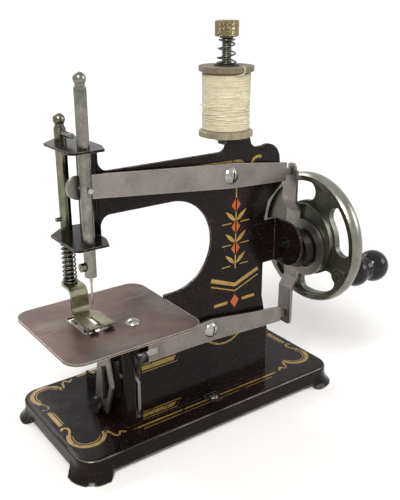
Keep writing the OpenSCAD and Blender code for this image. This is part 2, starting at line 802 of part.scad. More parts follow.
module frame() color(enamel) in_frame() {
  difference() {
    union() {
      upright(0, sheet) plate_outline();
      block([-head_left, 0, lower_lug - sheet], [sheet - head_left, head_depth, upper_lug]);
      lug(upper_lug);
      lug(lower_lug);
      sideways(ear_left, sheet) {
        translate([shaft_y, shaft_rise]) circle(ear_radius);
        translate([shaft_y, shaft_rise - ear_radius]) square([shaft_ahead + sheet, 2 * ear_radius]);
      }
      block([tab_left, 0, tab_top - sheet], [tab_left + tab_width, spool_behind + 8, tab_top]);
      end_wall();
      sideways(pillar_foot - sheet, sheet) polygon([
        [0, 0],
        [gusset_depth, 0],
        [gusset_depth, 8],
        [12, pillar_foot_height - 2],
        [0, pillar_foot_height - 2]
      ]);
      block([-bed_left, wall_depth - 18, 0], [-bed_left + sheet + 9, wall_depth, sheet]);
      block([pillar_foot - sheet - 9, gusset_depth - 29, 0], [pillar_foot, gusset_depth, sheet]);
      block([-1.5, -7, 0], [6.5, sheet, sheet]);
    }
    translate([-bed_left, 0, 0]) corner_cut(fold_radius, -1, -1, -1, table_under + 1);
    translate([-head_left, 0, 0]) corner_cut(fold_radius, -1, -1, lower_lug + 0.2, upper_lug - sheet - 0.2);
    translate([0, 0, tab_top]) rotate([0, 90, 0])
      corner_cut(fold_radius, -1, -1, tab_left - 1, tab_left + tab_width + 1);
    rod_y(pivot_diameter / 2 + press_gap, -1, sheet + 1, upper_pivot_right, upper_pivot_z);
    rod_y(pivot_diameter / 2 + press_gap, -1, sheet + 1, lower_pivot_right, lower_pivot_rise);
    rod_y(1.1 + press_gap, -1, sheet + 1, bracket_rivet_x, bracket_rivet_z);
    block([drive_arm_left - 0.6, -1, 4], [drive_arm_left + looper_sheet + 0.6, sheet + 1, drive_slot_top]);
    rod_x(bearing_radius + press_gap, ear_left - 1, ear_left + sheet + 1, shaft_y, shaft_rise);
    rod_z(spool_pin_diameter / 2 + press_gap, tab_top - sheet - 1, tab_top + 1, spool_x, spool_behind);
    for (p = screw_spots)
      rod_z(base_screw_shank + press_gap, -1, sheet + 1, p[0], p[1]);
  }
}
bearing_radius = journal_diameter / 2 + 0.9;
bracket_rivet_x = -bed_left + 5;
bracket_rivet_z = table_under - 6.4;
drive_slot_top = looper_rise + 41;

module cloth_plate() color(tin) in_frame() {
  translate([0, 0, table_under]) linear_extrude(table_sheet) difference() {
    translate([table_length / 2 - table_left, table_width / 2 - table_front])
      round_rectangle(table_length, table_width, table_corner);
    translate([opening_width / 2 - opening_left, opening_length / 2 - opening_front])
      round_rectangle(opening_width, opening_length, 1.5);
    translate([-table_screw_left, -table_screw_front]) circle(1.6 + press_gap);
  }
}

bracket_drop = 12;
bracket_margin = 4.8;
bracket_left = side_gap + 0.3 - bed_left;
bracket_width = 8.8;
bracket_right = bracket_left + bracket_width;

module table_bracket() color(enamel) in_frame() {
  difference() {
    union() {
      block([bracket_left, -sheet, table_under - bracket_drop], [bracket_right, 0, table_under]);
      block([-table_screw_left - bracket_margin, -table_screw_front - bracket_margin, table_under - sheet],
        [bracket_right, 0, table_under]);
    }
    rod_y(1.1 + press_gap, -sheet - 1, 1, bracket_rivet_x, bracket_rivet_z);
    rod_z(1.6 + press_gap, table_under - sheet - 1, table_under + 1, -table_screw_left, -table_screw_front);
  }
}

module table_screw() color(nickel) in_frame() {
  translate([-table_screw_left, -table_screw_front, table_rise]) {
    slotted_dome(table_screw_radius, 1.7, 60);
    translate([0, 0, -table_sheet - sheet - 3.2]) cylinder(r = 1.6, h = table_sheet + sheet + 3.2);
  }
}

module table_nut() color(nickel) in_frame() {
  translate([-table_screw_left, -table_screw_front, table_under - sheet - 2.4])
    difference() {
      cylinder(r = 3.2, h = 2.4, $fn = 6);
      translate([0, 0, -1]) cylinder(r = 1.6 + press_gap, h = 4.4);
    }
}

module bracket_rivet() color(nickel) in_frame() {
  rod_y(1.1, -sheet, sheet, bracket_rivet_x, bracket_rivet_z);
  rod_y(2, -sheet - 0.8, -sheet, bracket_rivet_x, bracket_rivet_z);
  rod_y(1.9, sheet, sheet + 0.6, bracket_rivet_x, bracket_rivet_z);
}

module wall_rivet() color(brass) in_frame() {
  rod_x(0.9, -bed_left, sheet - bed_left, rivet_y, rivet_z);
  rod_x(1.5, -bed_left - 0.7, -bed_left, rivet_y, rivet_z);
  rod_x(1.4, sheet - bed_left, sheet - bed_left + 0.5, rivet_y, rivet_z);
}

module at_pivots() {
  translate([upper_pivot_right, 0, upper_pivot_z]) children();
  translate([lower_pivot_right, 0, lower_pivot_rise]) children();
}

module pivot_screws() color(nickel) in_frame() {
  at_pivots() {
    translate([0, lever_front - end_gap, 0]) rotate([90, 0, 0])
      slotted_dome(pivot_head_radius, pivot_head_height, 80);
    rod_y(pivot_diameter / 2, lever_front - end_gap, sheet + 3, 0, 0);
  }
}

module pivot_washers() color(bare_steel) in_frame() {
  at_pivots() difference() {
    rod_y(5, -washer_thickness, 0, 0, 0);
    rod_y(pivot_diameter / 2 + press_gap, -washer_thickness - 1, 1, 0, 0);
  }
}

module pivot_nuts() color(nickel) in_frame() {
  at_pivots() difference() {
    translate([0, sheet + 2.6, 0]) rotate([90, 0, 0]) cylinder(r = 4, h = 2.6, $fn = 6);
    rod_y(pivot_diameter / 2 + press_gap, sheet - 1, sheet + 4, 0, 0);
  }
}

module shaft_bearing() color(bare_steel) in_frame() {
  difference() {
    union() {
      rod_x(bearing_radius, ear_left - 0.3, ear_left + sheet, shaft_y, shaft_rise);
      rod_x(bearing_radius + 2, ear_left + sheet, bearing_right, shaft_y, shaft_rise);
    }
    rod_x(journal_diameter / 2 + run_gap, ear_left - 1, bearing_right + 1, shaft_y, shaft_rise);
  }
}
bearing_right = ear_left + sheet + 3.6;

module looper_bearing() color(bare_steel) in_frame() {
  difference() {
    union() {
      rod_x(looper_shaft_diameter / 2 + 1, -bed_left, sheet - bed_left, looper_behind, looper_rise);
      rod_x(looper_shaft_diameter / 2 + 2.2, looper_arm_right + side_gap, -bed_left,
        looper_behind, looper_rise);
    }
    rod_x(looper_shaft_diameter / 2 + run_gap, looper_arm_right - 1, 1 + sheet - bed_left,
      looper_behind, looper_rise);
  }
}

module spool_pin() color(nickel) in_frame() {
  rod_z(spool_pin_diameter / 2, tab_top - sheet - 3.4, nut_top - 2, spool_x, spool_behind);
}

module spool_pin_nut() color(nickel) in_frame() {
  translate([spool_x, spool_behind, tab_top - sheet - 2.6]) difference() {
    cylinder(r = spool_pin_diameter / 2 + 2.2, h = 2.6, $fn = 6);
    translate([0, 0, -1]) cylinder(r = spool_pin_diameter / 2 + press_gap, h = 4.6);
  }
}

module tension_washer() color(nickel) in_frame() {
  translate([spool_x, spool_behind, tension_low]) difference() {
    cylinder(r = spool_pin_diameter / 2 + 4, h = tension_washer_height);
    translate([0, 0, -1]) cylinder(r = spool_pin_diameter / 2 + press_gap, h = tension_washer_height + 2);
  }
}

tension_r0 = spool_pin_diameter / 2 + tension_wire / 2 + 1.7;
tension_r1 = spool_pin_diameter / 2 + tension_wire / 2 + 0.7;
tension_path = coil_path(
  coil_flat(tension_height, tension_curls, 8, tension_wire, tension_r0),
  tension_height, tension_r0, tension_r1);

module tension_spring() color(nickel) in_frame() {
  echo(tension_spring_least_gap = coil_gap(tension_path, 8, tension_wire));
  translate([spool_x, spool_behind, tension_low + tension_washer_height])
    coil_tube(tension_path, tension_wire, 6);
}

presser_spring_r = presser_stem_radius + presser_wire / 2 + 0.5;
presser_spring_height = spring_top - collar_z;
presser_path = coil_path(
  coil_flat(presser_spring_height, presser_curls, 8, presser_wire, presser_spring_r),
  presser_spring_height, presser_spring_r, presser_spring_r);

module presser_spring() color(nickel) in_frame() {
  echo(presser_spring_least_gap = coil_gap(presser_path, 8, presser_wire));
  translate([bars_x, presser_behind, collar_z]) rotate([0, 0, 200])
    coil_tube(presser_path, presser_wire, 6);
}

// The link's strip with its ring, seen along the shaft
module link_outline() {
  half = link_width / 2;
  tail_gap = tail_height / 2 + slot_gap;
  difference() {
    union() {
      translate([link_y - half, lower_tail_z - 6 + 2])
        square([link_width, upper_tail_z - lower_tail_z + 5]);
      translate([link_y - half + 2, lower_tail_z - 6]) square([link_width - 4, 4]);
      for (s = [-1, 1])
        translate([link_y + s * (half - 2), lower_tail_z - 4]) circle(2);
      translate([lever_middle - 2.6, upper_tail_z]) square([5.2, tail_gap + 1]);
      translate([lever_middle - 1.1, upper_tail_z + tail_gap + 0.5]) square([2.2, 1.5]);
      for (s = [-1, 1])
        translate([lever_middle + s * 1.1, upper_tail_z + tail_gap + 0.5]) circle(1.5);
      translate([ring_y, ring_z]) circle(ring_radius);
    }
    translate([ring_y, ring_z]) circle(ring_bore);
    for (z = [lower_tail_z, upper_tail_z])
      translate([lever_middle - lever_sheet / 2 - slot_gap, z - tail_gap])
        square([lever_sheet + 2 * slot_gap, 2 * tail_gap]);
  }
}

module link() color(bare_steel) in_frame() {
  low = lower_tail_z - 8;
  top = upper_tail_z + 9;
  slope = 6;
  intersection() {
    sideways(link_left - 1, link_step + link_sheet + 2) link_outline();
    upright(-wheel_radius, 2 * wheel_radius) polygon([
      [link_left, low],
      [link_left, link_ring_low - slope],
      [ring_left, link_ring_low],
      [ring_left, link_ring_top],
      [link_left, link_ring_top + slope],
      [link_left, top],
      [link_left + link_sheet, top],
      [link_left + link_sheet, link_ring_top + slope + 0.6],
      [ring_left + link_sheet, link_ring_top + 0.6],
      [ring_left + link_sheet, link_ring_low - 0.6],
      [link_left + link_sheet, link_ring_low - slope - 0.6],
      [link_left + link_sheet, low]
    ]);
  }
}

module upper_lever() color(bare_steel) in_frame() {
  needle_reach = bars_left + upper_pivot_right;
  slot_middle = needle_reach * (1 + 1 / cos(upper_tilt + 2.2)) / 2;
  slot_half = needle_pin / 2 + 0.2;
  left = needle_reach + 7.8 - upper_half_left;
  shoulder = 37.4;
  tail = (tail_end - upper_pivot_right) / cos(upper_tilt);
  translate([upper_pivot_right, 0, upper_pivot_z]) rotate([0, upper_tilt, 0]) difference() {
    union() {
      upright(lever_front, lever_sheet) polygon([
        [-left - 0.6, upper_half_left],
        [0, upper_half_pivot],
        [shoulder, upper_half_right],
        [shoulder, -upper_half_right],
        [0, -upper_half_pivot],
        [-left - 0.6, -upper_half_left]
      ]);
      rod_y(upper_half_left, lever_front, lever_back, -left, 0);
      block([shoulder - 1, lever_front, -tail_height / 2], [tail, lever_back, tail_height / 2]);
    }
    rod_y(pivot_diameter / 2 + run_gap, lever_front - 1, lever_back + 1, 0, 0);
    for (x = [-0.7, 0.7])
      rod_y(slot_half, lever_front - 1, lever_back + 1, x - slot_middle, 0);
    block([-slot_middle - 0.7, lever_front - 1, -slot_half],
      [0.7 - slot_middle, lever_back + 1, slot_half]);
  }
}

module needle_bar() color(nickel) in_frame() {
  difference() {
    union() {
      rod_z(needle_bar_radius, needle_bar_low, needle_ball_z - neck_drop, bars_x, needle_y);
      rod_z(neck_diameter / 2, needle_ball_z - neck_drop - 0.1, needle_ball_z, bars_x, needle_y);
      translate([bars_x, needle_y, needle_ball_z]) sphere(ball_diameter / 2);
    }
    rod_y(needle_pin / 2 + press_gap, needle_y - 9, needle_y + 9, bars_x, needle_pin_z);
    rod_z(needle_shank / 2 + press_gap, needle_bar_low - 1, needle_bar_low + 10, bars_x, needle_y);
    rod_x(0.8 + press_gap, bars_x - 9, bars_x, needle_y, clamp_z);
  }
}

module needle() color(bare_steel) in_frame() {
  rod_z(needle_shank / 2, needle_bar_low - 3, needle_bar_low + 9.5, bars_x, needle_y);
  rod_z(needle_blade / 2, needle_low + 2.6, needle_bar_low - 2.9, bars_x, needle_y);
  translate([bars_x, needle_y, needle_low]) cylinder(r1 = 0.08, r2 = needle_blade / 2, h = 2.6);
}

module needle_clamp_screw() color(nickel) in_frame() {
  rod_x(0.8, bars_x - needle_bar_radius - 0.2, bars_x - needle_shank / 2 - 0.05, needle_y, clamp_z);
  difference() {
    rod_x(clamp_head, bars_x - needle_bar_radius - 2.2, bars_x - needle_bar_radius - 0.1, needle_y, clamp_z);
    translate([bars_x - needle_bar_radius - 2.6, needle_y, clamp_z])
      rotate([35, 0, 0]) cube([1.6, 0.5, 3 * clamp_head], center = true);
  }
}

module needle_bar_pin() color(bare_steel) in_frame() {
  rod_y(needle_pin / 2, needle_y - needle_bar_radius - 1.9, lever_back + 0.6, bars_x, needle_pin_z);
}

module lower_lever() color(bare_steel) in_frame() {
  right = 49.3;
  right_z = -right * tan(lower_tilt);
  translate([lower_pivot_right, 0, lower_pivot_rise]) upright(lever_front, lever_sheet)
    difference() {
      union() {
        polygon([
          [-lower_reach, -lower_drop - lower_half_left],
          [0, -lower_half_pivot - 0.2],
          [right, right_z - lower_half_right],
          [right, right_z + lower_half_right],
          [0, lower_half_pivot],
          [-lower_reach, -lower_drop + lower_half_left]
        ]);
        rotate(-lower_tilt) translate([right - 2, -tail_height / 2])
          square([(tail_end - lower_pivot_right) / cos(lower_tilt) - right + 2, tail_height]);
      }
      circle(pivot_diameter / 2 + run_gap);
      translate([-lower_reach - 1, -lower_drop - drive_pin / 2 - press_gap])
        square([1 + tongue_length + press_gap, drive_pin + 2 * press_gap]);
    }
}
tongue_length = 5;

module lever_drive_pin() color(nickel) in_frame() {
  rod_x(drive_pin / 2, drive_arm_left - 0.6, lower_left, drive_pin_y, drive_pin_z);
  block([lower_left - 0.2, lever_front, drive_pin_z - drive_pin / 2],
    [lower_left + tongue_length, lever_back, drive_pin_z + drive_pin / 2]);
}

looper_head = 4.4;
looper_head_height = 2.6;

module looper_shaft() color(nickel) in_frame() {
  r = looper_shaft_diameter / 2;
  rod_x(r, looper_arm_left, drive_arm_left + looper_sheet, looper_behind, looper_rise);
  difference() {
    rod_x(looper_head, looper_arm_left - looper_head_height, looper_arm_left, looper_behind, looper_rise);
    translate([looper_arm_left - looper_head_height, looper_behind, looper_rise])
      rotate([50, 0, 0]) cube([1.8, 1, 3 * looper_head], center = true);
  }
  rod_x(r + 1.2, sheet - bed_left + side_gap, drive_arm_left, looper_behind, looper_rise);
  rod_x(r + 0.9, drive_arm_left + looper_sheet, drive_arm_left + looper_sheet + 0.8,
    looper_behind, looper_rise);
}

module looper_arm() color(bare_steel) in_frame() {
  x0 = looper_arm_left;
  x1 = looper_arm_right;
  arm = looper_bar_rise;
  translate([0, looper_behind, looper_rise]) difference() {
    union() {
      sideways(x0, looper_sheet) polygon([
        [0.08 * arm, -0.03 * arm],
        [-0.18 * arm, -0.03 * arm],
        [-0.302 * arm, 0.33 * arm],
        [-looper_bar_ahead - 2.9, 0.608 * arm],
        [-looper_bar_ahead - 2.9, arm + 2.4],
        [2.7 - looper_bar_ahead, arm + 2.4],
        [-0.008 * arm, 0.54 * arm],
        [0.082 * arm, 0.04 * arm]
      ]);
      rod_x(4.7, x0, x1, 0, 0);
    }
    sideways(x0 - 1, looper_sheet + 2) polygon([
      [-0.09 * arm, 0.11 * arm],
      [-0.169 * arm, 0.102 * arm],
      [-0.243 * arm, 0.325 * arm],
      [-0.196 * arm, 0.55 * arm],
      [-0.086 * arm, 0.49 * arm]
    ]);
    rod_x(looper_shaft_diameter / 2 + press_gap, x0 - 1, x1 + 1, 0, 0);
    rod_x(looper_bar_diameter / 2 + press_gap, x0 - 1, x1 + 1,
      looper_bar_y - looper_behind, looper_bar_rise);
  }
}

// How far the drive pin sinks over the whole stroke
drive_pin_fall = 7.7;

module drive_arm() color(bare_steel) in_frame() {
  x0 = drive_arm_left;
  x1 = drive_arm_left + looper_sheet;
  slot_half = drive_pin / 2 + slot_gap + 0.1;
  lowest_pin = norm([looper_behind - drive_pin_y, drive_pin_z - looper_rise - drive_pin_fall]);
  fork_slot = fork_length - lowest_pin + drive_pin / 2 + slot_gap;
  translate([0, looper_behind, looper_rise]) difference() {
    union() {
      rotate([fork_angle, 0, 0])
        block([x0, 0, -fork_half], [x1, fork_length + fork_beyond, fork_half]);
      rod_x(4.6, x0, x1, 0, 0);
      sideways(x0, looper_sheet) polygon([
        [-looper_behind - 1.4, 3.2],
        [-looper_behind - 1.4, 19.6],
        [4.4 - looper_behind, 25.4],
        [-1, 3.5],
        [-1, -3.2],
        [-11, -2.8]
      ]);
    }
    rotate([fork_angle, 0, 0])
      block([x0 - 1, fork_length - fork_slot, -slot_half],
        [x1 + 1, fork_length + fork_beyond + 1, slot_half]);
    rod_x(looper_shaft_diameter / 2 + press_gap, x0 - 1, x1 + 1, 0, 0);
  }
}

module looper_bar() color(bare_steel) in_frame() {
  rod_x(looper_bar_diameter / 2, dog_left - 1, looper_arm_right + 0.6, looper_bar_y, looper_bar_z);
}

module looper_hook() color(nickel) in_frame() {
  sideways(hook_left, hook_sheet) translate([looper_bar_y, looper_bar_z]) difference() {
    union() {
      circle(looper_bar_diameter / 2 + 1.6);
      polygon([
        [1, 2.7],
        [-9, 6],
        [-13.4, 6.4],
        [-15, 5.2],
        [-10, 3.8],
        [-4, -1.2]
      ]);
    }
    circle(looper_bar_diameter / 2 + press_gap);
  }
}

module feed_dog() color(bare_steel) in_frame() {
  top = table_rise - 0.2 - looper_bar_z;
  front = -13;
  sideways(dog_left, dog_width) translate([looper_bar_y, looper_bar_z]) difference() {
    union() {
      circle(looper_bar_diameter / 2 + 1.6);
      polygon([
        [1.6, 2.4],
        [front + dog_length, top - 4.4],
        [front + dog_length, top],
        [front, top],
        [front, top - 5.5],
        [-2, -2]
      ]);
    }
    circle(looper_bar_diameter / 2 + press_gap);
    for (k = [0:3])
      translate([front + dog_length * (k + 0.5) / 4, top]) rotate(45) square(0.7, center = true);
  }
}

module presser_bar() color(nickel) in_frame() {
  step = spring_top + 0.2;
  difference() {
    union() {
      rod_z(presser_stem_radius, presser_bar_low, step + 0.5, bars_x, presser_behind);
      rod_z(presser_bar_radius, step, presser_ball_z - neck_drop, bars_x, presser_behind);
      rod_z(neck_diameter / 2, presser_ball_z - neck_drop - 0.1, presser_ball_z, bars_x, presser_behind);
      translate([bars_x, presser_behind, presser_ball_z]) sphere(ball_diameter / 2);
    }
    rod_y(lift_pin_diameter / 2 + press_gap, presser_behind - 9, presser_behind + 0.5,
      bars_x, upper_lug + lift_pin_rise);
    rod_x(stud_diameter / 2 + press_gap, bars_x - 9, bars_x + 0.5, presser_behind, lower_lug + stud_rise);
  }
}

module lift_pin() color(nickel) in_frame() {
  rod_y(lift_pin_diameter / 2, presser_behind - lift_pin_reach, presser_behind + 0.4,
    bars_x, upper_lug + lift_pin_rise);
}

module presser_stud() color(nickel) in_frame() {
  rod_x(stud_diameter / 2, bars_x - stud_reach, bars_x + 0.4, presser_behind, lower_lug + stud_rise);
}

// A quarter of a bent strap in the plane, round the point p, in the quadrant (sy, sz)
module bend_quarter(p, sy, sz) {
  translate(p) intersection() {
    difference() {
      circle(foot_bend + foot_strap);
      circle(foot_bend);
    }
    translate([sy > 0 ? 0 : -20, sz > 0 ? 0 : -20]) square(20);
  }
}

// The presser foot's strap runs forward from the bar, down, and forward again as the sole
module presser_foot() color(nickel) in_frame() {
  strap_back = presser_behind - foot_ahead;
  strap_front = strap_back - foot_strap;
  upper_z = collar_z - foot_strap - foot_bend;
  lower_z = sole_low + foot_strap + foot_bend;
  lower_y = strap_front - foot_bend;
  toe_y = needle_y - foot_reach;
  toe_z = sole_low + foot_strap + foot_bend;
  neck_x = bars_x - foot_neck / 2;
  sole_x = bars_x - foot_width / 2 + 0.4;
  difference() {
    union() {
      rod_z(collar_radius, collar_z - foot_strap, collar_z, bars_x, presser_behind);
      rod_z(presser_stem_radius + 0.9, presser_bar_low, collar_z - 0.5, bars_x, presser_behind);
      block([neck_x, strap_back + foot_bend, collar_z - foot_strap],
        [neck_x + foot_neck, presser_behind, collar_z]);
      sideways(neck_x, foot_neck) bend_quarter([strap_back + foot_bend, upper_z], -1, 1);
      block([neck_x, strap_front, lower_z - 0.01], [neck_x + foot_neck, strap_back, upper_z + 0.01]);
      sideways(neck_x, foot_neck) bend_quarter([lower_y, lower_z], 1, -1);
      translate([0, 0, sole_low]) linear_extrude(foot_strap) polygon([
        [neck_x, lower_y],
        [sole_x, lower_y - foot_spread],
        [sole_x, toe_y],
        [sole_x + foot_width, toe_y],
        [sole_x + foot_width, lower_y - foot_spread],
        [neck_x + foot_neck, lower_y]
      ]);
      sideways(sole_x, foot_width) intersection() {
        bend_quarter([toe_y, toe_z], -1, -1);
        polygon([
          [toe_y, toe_z],
          [toe_y - 12, toe_z - 8],
          [toe_y, toe_z - 20]
        ]);
      }
    }
    rod_z(presser_stem_radius + press_gap, presser_bar_low - 1, collar_z + 1, bars_x, presser_behind);
    block([bars_x - foot_slot / 2, needle_y - 20, sole_low - 1],
      [bars_x + foot_slot / 2, needle_y + 4.6, sole_low + 9]);
  }
}

module main_shaft() color(nickel) in_frame() {
  rod_x(journal_diameter / 2, ear_left - shaft_stub, eccentric_left - 0.5, shaft_y, shaft_rise);
  rod_x(shaft_diameter / 2, eccentric_left - 0.5, hub_right + 1.2, shaft_y, shaft_rise);
}

module eccentric() color(bare_steel) in_frame() {
  difference() {
    rod_x(eccentric_radius, eccentric_left, eccentric_right, ring_y, ring_z);
    rod_x(shaft_diameter / 2 + press_gap, eccentric_left - 1, eccentric_right + 1, shaft_y, shaft_rise);
  }
}

// How far the round ends of the wheel's openings are set in, so that no two edges are tangent
cutout_end_step = 0.08;

// An opening of the wheel's web, round at both ends
module kidney() {
  low = cutout_middle - cutout_height / 2;
  high = cutout_middle + cutout_height / 2;
  half = cutout_span / 2;
  difference() {
    intersection() {
      circle(high);
      polygon([[0, 0], [50 * cos(half), -50 * sin(half)], [50 * cos(half), 50 * sin(half)]]);
    }
    circle(low);
  }
  for (s = [-1, 1])
    rotate(s * half) translate([cutout_middle, 0]) circle(cutout_height / 2 - cutout_end_step);
}

module handwheel() color(nickel) in_frame() {
  translate([0, shaft_y, shaft_rise]) rotate([0, 90, 0]) difference() {
    union() {
      rotate_extrude() intersection() {
        translate([wheel_radius - rim_round, rim_middle]) circle(rim_round);
        translate([rim_inner, rim_left]) square([rim_thickness + 1, rim_width]);
      }
      translate([0, 0, web_left]) difference() {
        cylinder(r = rim_inner + 0.5, h = web_thickness);
        for (k = [0:3])
          rotate([0, 0, 270 - cutout_turn - 90 * k]) translate([0, 0, -1])
            linear_extrude(web_thickness + 2) kidney();
      }
      translate([0, 0, hub_left]) cylinder(r = hub_radius, h = web_left + 1 - hub_left);
      translate([0, 0, web_left]) cylinder(r = 8.5, h = hub_right - web_left);
      rotate([0, 0, 270 - crank_angle]) translate([crank_radius, 0, web_left - 1])
        cylinder(r = crank_boss_radius, h = crank_boss_right - web_left + 1);
    }
    cylinder(r = shaft_diameter / 2 + press_gap, h = right_end);
    rotate([0, 0, 270 - crank_angle]) translate([crank_radius, 0, 0])
      cylinder(r = crank_pin_diameter / 2 + press_gap, h = right_end);
  }
}

module crank_pin() color(nickel) in_frame() {
  rod_x(crank_pin_diameter / 2, web_left - 1.4, crank_head_left, crank_y, crank_z);
  rod_x(crank_pin_diameter / 2 + 1, crank_head_left, right_end, crank_y, crank_z);
}

module knob() color(black) in_frame() {
  ball = knob_length - knob_radius + 1.3;
  foot_middle = 0.76 * knob_foot;
  translate([knob_left, crank_y, crank_z]) rotate([0, 90, 0]) difference() {
    union() {
      intersection() {
        union() {
          translate([0, 0, foot_middle]) sphere(knob_foot);
          translate([0, 0, ball]) sphere(knob_radius);
        }
        cylinder(r = knob_radius + 1, h = knob_length);
      }
      translate([0, 0, foot_middle]) cylinder(r = knob_waist, h = ball - foot_middle);
    }
    translate([0, 0, -1]) cylinder(r = crank_pin_diameter / 2 + run_gap, h = knob_length + 2);
  }
}

module spool() color(wood_tone) in_frame() {
  bore = spool_pin_diameter / 2 + 0.1;
  translate([spool_x, spool_behind, spool_low]) rotate_extrude() polygon([
    [bore, 0],
    [spool_radius, 0],
    [spool_radius, spool_flange],
    [spool_barrel, thread_inset],
    [spool_barrel, spool_height - thread_inset],
    [spool_radius, spool_height - spool_flange],
    [spool_radius, spool_height],
    [bore, spool_height]
  ]);
}
thread_inset = spool_flange + 3;
thread_path_radius = thread_radius - thread_diameter / 2;
thread_core = thread_radius - thread_diameter - 0.25;
thread_rise = (thread_radius - spool_barrel) / (spool_radius - spool_barrel);
thread_low = thread_inset - 3 * thread_rise + 0.3;
thread_height = spool_height - 2 * thread_low;
thread_path = coil_path(
  coil_flat(thread_height, thread_turns, 24, thread_diameter, thread_path_radius),
  thread_height, thread_path_radius, thread_path_radius);

module thread_winding() color(cream) in_frame() {
  echo(thread_least_gap = coil_gap(thread_path, 24, thread_diameter));
  core_low = thread_low + 0.1;
  core_inset = thread_inset + 0.1;
  translate([spool_x, spool_behind, spool_low]) {
    rotate_extrude() polygon([
      [spool_barrel + press_gap, core_inset],
      [thread_core, core_low],
      [thread_core, spool_height - core_low],
      [spool_barrel + press_gap, spool_height - core_inset]
    ]);
    translate([0, 0, thread_low]) coil_tube(thread_path, thread_diameter, 6);
  }
}

module thumb_nut() color(brass) in_frame() {
  translate([spool_x, spool_behind, nut_low]) difference() {
    union() {
      cylinder(r = spool_pin_diameter / 2 + 0.9, h = nut_neck + 0.5);
      translate([0, 0, nut_neck]) cylinder(r = nut_radius, h = nut_height);
    }
    translate([0, 0, -1]) cylinder(r = spool_pin_diameter / 2 + run_gap, h = nut_top - nut_low - 0.6);
    for (k = [1:nut_grooves])
      rotate([0, 0, 360 * k / nut_grooves]) translate([nut_radius, 0, nut_neck + 0.7])
        rotate([0, 0, 45]) translate([-0.3, -0.3, 0]) cube([0.6, 0.6, nut_height - 1.4]);
  }
}

base();
base_screws();
base_nuts();
frame();
cloth_plate();
table_bracket();
table_screw();
table_nut();
bracket_rivet();
wall_rivet();
pivot_screws();
pivot_washers();
pivot_nuts();
shaft_bearing();
looper_bearing();
spool_pin();
spool_pin_nut();
tension_washer();
tension_spring();
presser_spring();
link();
upper_lever();
needle_bar();
needle();
needle_clamp_screw();
needle_bar_pin();
lower_lever();
lever_drive_pin();
looper_shaft();
looper_arm();
drive_arm();
looper_bar();
looper_hook();
feed_dog();
presser_bar();
lift_pin();
presser_stud();
presser_foot();
main_shaft();
eccentric();
handwheel();
crank_pin();
knob();
spool();
thread_winding();
thumb_nut();
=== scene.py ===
"""Looks of the toy sewing machine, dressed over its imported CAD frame. Metres throughout."""

import json
import math
import random

import bmesh
import bpy
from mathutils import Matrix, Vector


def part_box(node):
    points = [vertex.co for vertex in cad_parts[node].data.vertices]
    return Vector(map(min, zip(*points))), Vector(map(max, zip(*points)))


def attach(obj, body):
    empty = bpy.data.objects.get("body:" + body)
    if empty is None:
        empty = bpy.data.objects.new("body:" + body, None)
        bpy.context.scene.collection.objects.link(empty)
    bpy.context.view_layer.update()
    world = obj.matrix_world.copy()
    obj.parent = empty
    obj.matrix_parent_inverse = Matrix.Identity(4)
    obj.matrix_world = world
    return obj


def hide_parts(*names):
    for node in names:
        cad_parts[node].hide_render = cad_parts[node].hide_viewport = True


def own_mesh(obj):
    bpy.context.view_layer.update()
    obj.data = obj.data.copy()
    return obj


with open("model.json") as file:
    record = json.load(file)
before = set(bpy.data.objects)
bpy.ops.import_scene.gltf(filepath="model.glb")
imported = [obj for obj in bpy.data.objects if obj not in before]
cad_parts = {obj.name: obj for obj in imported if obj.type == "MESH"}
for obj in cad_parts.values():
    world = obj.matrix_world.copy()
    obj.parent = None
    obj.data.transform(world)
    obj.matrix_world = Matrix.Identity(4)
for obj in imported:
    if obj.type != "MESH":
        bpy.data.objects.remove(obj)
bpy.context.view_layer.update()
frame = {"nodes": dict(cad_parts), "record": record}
nodes = frame["nodes"]

MM = 0.001
TURN = 2 * math.pi
EVEN = (1, 1, 1)
WHITE = (1, 1, 1)
# The part's working corner: middle of the base in X, front of the plate in Y, top of the base in Z
CORNER = Vector((-1.55, -11.5, 12.0)) * MM


# Node helpers

def new_material(name):
    """A new material, its node tree and its shader."""
    material = bpy.data.materials.new(name)
    material.use_nodes = True
    tree = material.node_tree
    tree.nodes.clear()
    shader = tree.nodes.new("ShaderNodeBsdfPrincipled")
    output = tree.nodes.new("ShaderNodeOutputMaterial")
    tree.links.new(shader.outputs["BSDF"], output.inputs["Surface"])
    return material, tree, shader


def plug(tree, socket, value):
    """Gives a socket another node's output, a number, a vector or a colour."""
    if isinstance(value, bpy.types.NodeSocket):
        tree.links.new(value, socket)
    elif socket.type == "RGBA":
        socket.default_value = (*value, 1)
    else:
        socket.default_value = value


def plug_all(tree, node, values):
    """Plugs values into a node's inputs by their names."""
    for name, value in values.items():
        plug(tree, node.inputs[name], value)


def coordinates(tree, stretch=EVEN):
    """Place on the piece in the frame, in metres, scaled by stretch."""
    place = tree.nodes.new("ShaderNodeTexCoord")
    mapping = tree.nodes.new("ShaderNodeMapping")
    plug_all(tree, mapping, {"Vector": place.outputs["Object"], "Scale": stretch})
    return mapping.outputs["Vector"]


def z_part(tree, vector):
    """A vector's upward part."""
    parts = tree.nodes.new("ShaderNodeSeparateXYZ")
    plug(tree, parts.inputs["Vector"], vector)
    return parts.outputs["Z"]


def vector_step(tree, operation, a, b=None):
    """One vector math step on one or two vectors."""
    node = tree.nodes.new("ShaderNodeVectorMath")
    node.operation = operation
    plug(tree, node.inputs[0], a)
    if b is not None:
        plug(tree, node.inputs[1], b)
    gives_number = operation in ("DOT_PRODUCT", "LENGTH")
    return node.outputs["Value" if gives_number else "Vector"]


def combine(tree, operation, a, b):
    """One math step on two sockets, or on a socket and a number."""
    node = tree.nodes.new("ShaderNodeMath")
    node.operation = operation
    plug(tree, node.inputs[0], a)
    plug(tree, node.inputs[1], b)
    return node.outputs["Value"]


